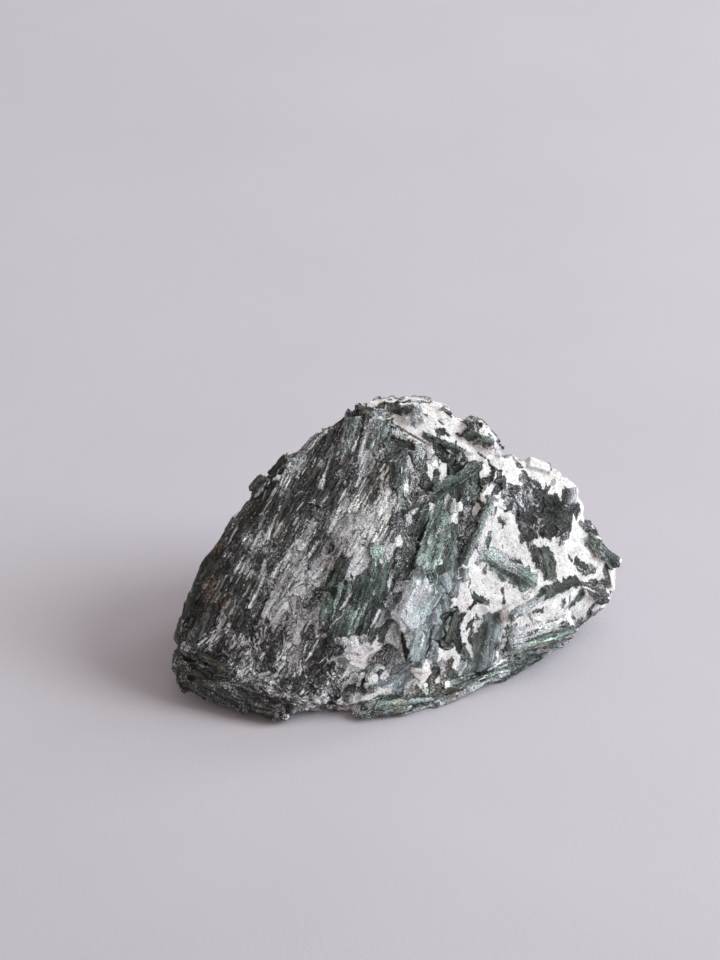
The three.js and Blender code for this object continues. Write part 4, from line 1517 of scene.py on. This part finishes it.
# The skin is cut into these closed slabs along X, each small enough for one piece.
SLABS = ("stone_a", "stone_b", "stone_c", "stone_d", "stone_e", "stone_f")


def cut_slab(mesh, low, high, name):
    """The closed part of a closed mesh between two places along X."""
    made = bmesh.new()
    made.from_mesh(mesh)
    for place, side in ((low, -1), (high, 1)):
        if not math.isfinite(place):
            continue
        whole = [*made.verts, *made.edges, *made.faces]
        cut = bmesh.ops.bisect_plane(
            made, geom=whole, dist=1e-7, plane_co=(place, 0, 0), plane_no=(side, 0, 0), clear_outer=True
        )
        rim = [item for item in cut["geom_cut"] if isinstance(item, bmesh.types.BMEdge)]
        bmesh.ops.triangle_fill(made, use_beauty=False, edges=rim, normal=(side, 0, 0))
        for edge in rim:
            edge.smooth = False
    slab = bpy.data.meshes.new(name)
    made.to_mesh(slab)
    made.free()
    return slab


class SPECIMEN_OT_skin(bpy.types.Operator):
    """Make the stone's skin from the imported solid"""

    bl_idname = "specimen.skin"
    bl_label = "Stone skin"

    # The first remesh, whose hollows are filled, is this many times coarser than the skin's.
    ROUGHER = 1.7
    # Edges sharper than this show as edges.
    SHARP = math.radians(32)

    def execute(self, context):
        settings = context.scene.specimen_skin
        finish = context.scene.specimen_finish
        rough = remeshed(merged_copy(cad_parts[NODE]), self.ROUGHER * settings.voxel)
        fill_hollows(rough)
        build_up(rough)
        mesh = remeshed(bpy.data.objects.new("skin base", rough), settings.voxel)
        surface = Surface(mesh)
        surface.divide()
        surface.fleck(mineral_table(finish))
        surface.shape(settings)
        surface.paint(np.array(finish.talc))
        mesh.shade_smooth()
        mesh.set_sharp_from_angle(angle=self.SHARP)

        cuts = np.quantile(surface.points[:, 0], np.arange(1, len(SLABS)) / len(SLABS))
        for name, low, high in zip(SLABS, (-math.inf, *cuts), (*cuts, math.inf)):
            slab = bpy.data.objects.new(name, cut_slab(mesh, low, high, name))
            place_piece(slab, shared_material(context))
            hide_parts(NODE)
        mesh.name = WHOLE_SKIN
        return {"FINISHED"}


# ---------------------------------------------------------------- splinters and crumbs


class Look:
    """What a crystal's attributes say of its finish."""

    def __init__(self, table, mineral, tone, silver, dust):
        colour, fibre, gloss = table[mineral]
        self.mineral = (*np.clip(colour * tone, 0, 1).tolist(), 1)
        self.facts = Vector((fibre, 0, gloss))
        self.dress = Vector((silver, dust, 2))


class Heap:
    """One mesh made of many small crystals, with the attributes that the material reads."""

    # Operators are slow on a large mesh, so this many crystals are made at a time.
    BATCH = 60

    def __init__(self, name):
        self.name = name
        self.count = 0
        self.whole = bmesh.new()
        self.start_batch()

    def start_batch(self):
        """Starts a small mesh for the next few crystals."""
        self.bm = bmesh.new()
        self.mineral = self.bm.verts.layers.float_color.new("mineral")
        self.grain = self.bm.verts.layers.float_vector.new("grain")
        self.facts = self.bm.verts.layers.float_vector.new("facts")
        self.dress = self.bm.verts.layers.float_vector.new("dress")

    def end_batch(self):
        """Adds the batch to the whole."""
        bmesh.ops.recalc_face_normals(self.bm, faces=self.bm.faces)
        mesh = bpy.data.meshes.new("batch")
        self.bm.to_mesh(mesh)
        self.bm.free()
        self.whole.from_mesh(mesh)
        bpy.data.meshes.remove(mesh)

    def finish_verts(self, verts, pose, look):
        """Moves a new crystal into place and writes its attributes."""
        self.count += 1
        # each crystal reads the noises at a place of its own
        offset = (self.count * 37.7) % 401
        for vert in verts:
            vert[self.mineral] = look.mineral
            vert[self.grain] = Vector([value / MM + offset for value in vert.co])
            vert[self.facts] = look.facts
            vert[self.dress] = look.dress
            vert.co = pose @ vert.co
        if self.count % self.BATCH == 0:
            self.end_batch()
            self.start_batch()

    def lath(self, pose, length, width, thickness, look, rng):
        """A lath along X, its ends tapered and broken off askew."""
        verts = bmesh.ops.create_cube(self.bm, size=1.0)["verts"]
        ends = {side: (rng.uniform(-0.9, 0.9), rng.uniform(0.35, 0.95)) for side in (-1, 1)}
        for vert in verts:
            x, y, z = vert.co * 2
            askew, taper = ends[1 if x > 0 else -1]
            vert.co.x = x * length / 2 + askew * y * width / 2
            narrow = taper * (0.75 if z > 0 else 1.0)
            vert.co.y = y * width / 2 * narrow
            vert.co.z = z * thickness / 2 * (rng.uniform(0.7, 1.0) if z > 0 else 1.0)
        self.finish_verts(verts, pose, look)

    def crumb(self, pose, size, look, rng):
        """An angular crumb."""
        verts = bmesh.ops.create_icosphere(self.bm, subdivisions=1, radius=1.0)["verts"]
        for vert in verts:
            vert.co = Vector([c * s * rng.uniform(0.65, 1.1) for c, s in zip(vert.co, size)])
        self.finish_verts(verts, pose, look)

    def piece(self):
        """The finished object."""
        self.end_batch()
        mesh = bpy.data.meshes.new(self.name)
        self.whole.to_mesh(mesh)
        self.whole.free()
        return bpy.data.objects.new(self.name, mesh)


# Loose pieces keep this far inside the solid's box.
INSET = 1.5 * MM
# A point less fibrous than this is talc.
TALC_FIBRE = 0.05


def strewn(count, rng):
    """Chance places on the finished skin: each place, its normal, its fibre and its ground."""
    mesh = bpy.data.meshes[WHOLE_SKIN]
    points = read_points(mesh)
    normals = soft_normals(mesh, read_edges(mesh))
    fibre = read_rows(mesh.attributes["facts"].data, "vector", 3)[:, 0]
    chosen = rng.choice(len(points), count, replace=False)
    for vertex, number in zip(chosen, ground_of(points[chosen])):
        place = points[vertex]
        if ((place > LOW + INSET) & (place < HIGH - INSET)).all():
            yield place, normals[vertex], fibre[vertex], GROUNDS[number]


class SPECIMEN_OT_splinters(bpy.types.Operator):
    """Strew fine splinters along the grain of each ground"""

    bl_idname = "specimen.splinters"
    bl_label = "Splinters"

    count: bpy.props.IntProperty(name="Count", description="How many places are tried", default=3000)

    # The least and the greatest length, width and thickness, in millimetres, and the most
    # that one stands off the skin.
    LENGTHS = (0.8, 2.8)
    WIDTHS = (0.2, 0.6)
    THICKNESSES = (0.8, 1.2)
    OFF = 0.18

    def execute(self, context):
        table = mineral_table(context.scene.specimen_finish)
        rng = np.random.default_rng(Seed.SPLINTERS)
        heap = Heap("splinters")
        for place, outward, fibre, ground in strewn(self.count, rng):
            if fibre < TALC_FIBRE or rng.uniform() < ground.talc_share * 1.1:
                continue
            fibrous = {name: share for name, share in ground.mix.items() if name != "talc"}
            along = unit(grain_on(ground, outward, rng) + outward * rng.normal(0, 0.05))
            length = rng.uniform(*self.LENGTHS) * MM
            width = rng.uniform(*self.WIDTHS) * MM
            thickness = rng.uniform(*self.THICKNESSES) * MM
            lift = rng.uniform(0.0, self.OFF) * MM - thickness / 2
            pose = pose_on(place + outward * lift, along, outward)
            look = Look(table, pick(fibrous, rng), rng.uniform(0.6, 1.4), ground.silver, ground.dust)
            heap.lath(pose, length, width, thickness, look, rng)
        place_piece(heap.piece(), shared_material(context))
        return {"FINISHED"}


class SPECIMEN_OT_crumbs(bpy.types.Operator):
    """Scatter crumbs of talc on the white ground"""

    bl_idname = "specimen.crumbs"
    bl_label = "Crumbs of talc"

    count: bpy.props.IntProperty(name="Count", description="How many places are tried", default=3200)

    # The least and the greatest radius, in millimetres.
    RADII = (0.15, 0.45)

    def execute(self, context):
        table = mineral_table(context.scene.specimen_finish)
        rng = np.random.default_rng(Seed.CRUMBS)
        heap = Heap("crumbs")
        for place, outward, fibre, ground in strewn(self.count, rng):
            if fibre > TALC_FIBRE or rng.uniform() > ground.talc_share + 0.3:
                continue
            radius = rng.uniform(*self.RADII) * MM
            size = radius * np.array([1.0, rng.uniform(0.5, 1), rng.uniform(0.35, 0.7)])
            along = unit(rng.normal(size=3))
            pose = pose_on(place + outward * (0.1 * size[2]), along, outward)
            heap.crumb(pose, size, Look(table, "talc", rng.uniform(0.8, 1.1), 0, 0.5), rng)
        place_piece(heap.piece(), shared_material(context))
        return {"FINISHED"}


# ---------------------------------------------------------------- studio


class SPECIMEN_OT_studio(bpy.types.Operator):
    """Set up the sweep, the lights and the camera"""

    bl_idname = "specimen.studio"
    bl_label = "Studio"

    # The sweep in metres: its front edge, where it is flat, where it starts to bend, the
    # radius of the bend, the wall above it and half its width.
    FRONT = -4.0
    FLAT = (-0.4, 0.0)
    BEND = 0.15
    RADIUS = 1.2
    WALL = 1.2
    HALF_WIDTH = 3.0
    STEPS = 24
    # The lamps: their size and how far from the stone they stand, in metres, and their colour.
    LAMP_SIZE = (1.6, 1.3)
    LAMP_DISTANCE = 2.3
    LAMP_COLOUR = (0.88, 0.95, 1.0)
    KEY_SIDE = (1.0, -0.15, 0.62)
    BACK_SIDE = (0.65, 0.8, 0.56)
    ROOM_COLOUR = (1.0, 0.91, 0.87, 1)
    # The camera's lens and film in millimetres, and where it aims, in half sizes of the stone.
    LENS = 90
    FILM = 36
    AIM = (-0.18, 0.013, 1.406)

    def execute(self, context):
        settings = context.scene.specimen_studio
        self.sweep(settings)
        self.lights(context, settings)
        self.camera(context, settings)
        return {"FINISHED"}

    def sweep(self, settings):
        """Paper that lies flat under the stone and curves up behind it."""
        made = bmesh.new()
        profile = [(y, 0.0) for y in (self.FRONT, *self.FLAT, self.BEND)]
        for step in range(1, self.STEPS + 1):
            angle = math.pi / 2 * step / self.STEPS
            rise = self.RADIUS * (1 - math.cos(angle))
            profile.append((self.BEND + self.RADIUS * math.sin(angle), rise))
        profile.append((self.BEND + self.RADIUS, self.RADIUS + self.WALL))
        verts = [made.verts.new((-self.HALF_WIDTH, y, z)) for y, z in profile]
        edges = [made.edges.new(pair) for pair in zip(verts, verts[1:])]
        swept = bmesh.ops.extrude_edge_only(made, edges=edges)
        moved = [item for item in swept["geom"] if isinstance(item, bmesh.types.BMVert)]
        bmesh.ops.translate(made, verts=moved, vec=(2 * self.HALF_WIDTH, 0, 0))
        bmesh.ops.recalc_face_normals(made, faces=made.faces)
        mesh = bpy.data.meshes.new("sweep")
        made.to_mesh(mesh)
        made.free()
        mesh.shade_smooth()
        mesh.materials.append(paper_material(settings.paper))
        sweep = bpy.data.objects.new("sweep", mesh)
        bpy.context.scene.collection.objects.link(sweep)

    def lights(self, context, settings):
        """A large low lamp on the right, another behind, and soft light from all round."""
        for name, side, power in (
            ("key", self.KEY_SIDE, settings.key),
            ("back light", self.BACK_SIDE, settings.key * settings.back),
        ):
            lamp = bpy.data.lights.new(name, "AREA")
            lamp.shape = "RECTANGLE"
            lamp.size, lamp.size_y = self.LAMP_SIZE
            lamp.energy = power
            lamp.color = self.LAMP_COLOUR
            made = bpy.data.objects.new(name, lamp)
            towards = Vector(side).normalized()
            made.location = towards * self.LAMP_DISTANCE
            made.rotation_euler = towards.to_track_quat("Z", "Y").to_euler()
            context.scene.collection.objects.link(made)

        world = bpy.data.worlds.new("room")
        world.use_nodes = True
        background = world.node_tree.nodes["Background"]
        background.inputs["Color"].default_value = self.ROOM_COLOUR
        background.inputs["Strength"].default_value = settings.fill
        context.scene.world = world

    def camera(self, context, settings):
        """The camera looks down at the front of the stone."""
        data = bpy.data.cameras.new("camera")
        data.lens = self.LENS
        data.sensor_width = self.FILM
        camera = bpy.data.objects.new("camera", data)
        aim = Vector([share * half for share, half in zip(self.AIM, HALF)])
        back = Vector((0, -math.cos(settings.tilt), math.sin(settings.tilt)))
        camera.location = aim + back * settings.distance
        camera.rotation_euler = back.to_track_quat("Z", "Y").to_euler()
        context.scene.collection.objects.link(camera)
        context.scene.camera = camera
        context.scene.view_settings.view_transform = "Standard"


# ---------------------------------------------------------------- panel and main

SETTINGS = {
    "specimen_skin": SpecimenSkin,
    "specimen_finish": SpecimenFinish,
    "specimen_studio": SpecimenStudio,
}
OPERATORS = (
    SPECIMEN_OT_studio,
    SPECIMEN_OT_skin,
    SPECIMEN_OT_splinters,
    SPECIMEN_OT_crumbs,
)


class SPECIMEN_PT_panel(bpy.types.Panel):
    """Lists the pieces and their settings"""

    bl_label = "Actinolite specimen"
    bl_idname = "SPECIMEN_PT_panel"
    bl_space_type = "VIEW_3D"
    bl_region_type = "UI"
    bl_category = "Specimen"

    def draw(self, context):
        layout = self.layout
        for operator in OPERATORS:
            layout.operator(operator.bl_idname)
        for name, settings in SETTINGS.items():
            box = layout.box()
            for key in settings.__annotations__:
                box.prop(getattr(context.scene, name), key)


CLASSES = (*SETTINGS.values(), *OPERATORS, SPECIMEN_PT_panel)


def register():
    """Registers the classes and hangs the settings on the scene."""
    for cls in CLASSES:
        bpy.utils.register_class(cls)
    for name, settings in SETTINGS.items():
        setattr(bpy.types.Scene, name, bpy.props.PointerProperty(type=settings))


def unregister():
    """Takes the settings and the classes away again."""
    for name in SETTINGS:
        delattr(bpy.types.Scene, name)
    for cls in reversed(CLASSES):
        bpy.utils.unregister_class(cls)


def main():
    """Makes every piece in order."""
    register()
    bpy.ops.specimen.studio()
    bpy.ops.specimen.skin()
    bpy.ops.specimen.splinters()
    bpy.ops.specimen.crumbs()


if __name__ == "__main__":
    main()
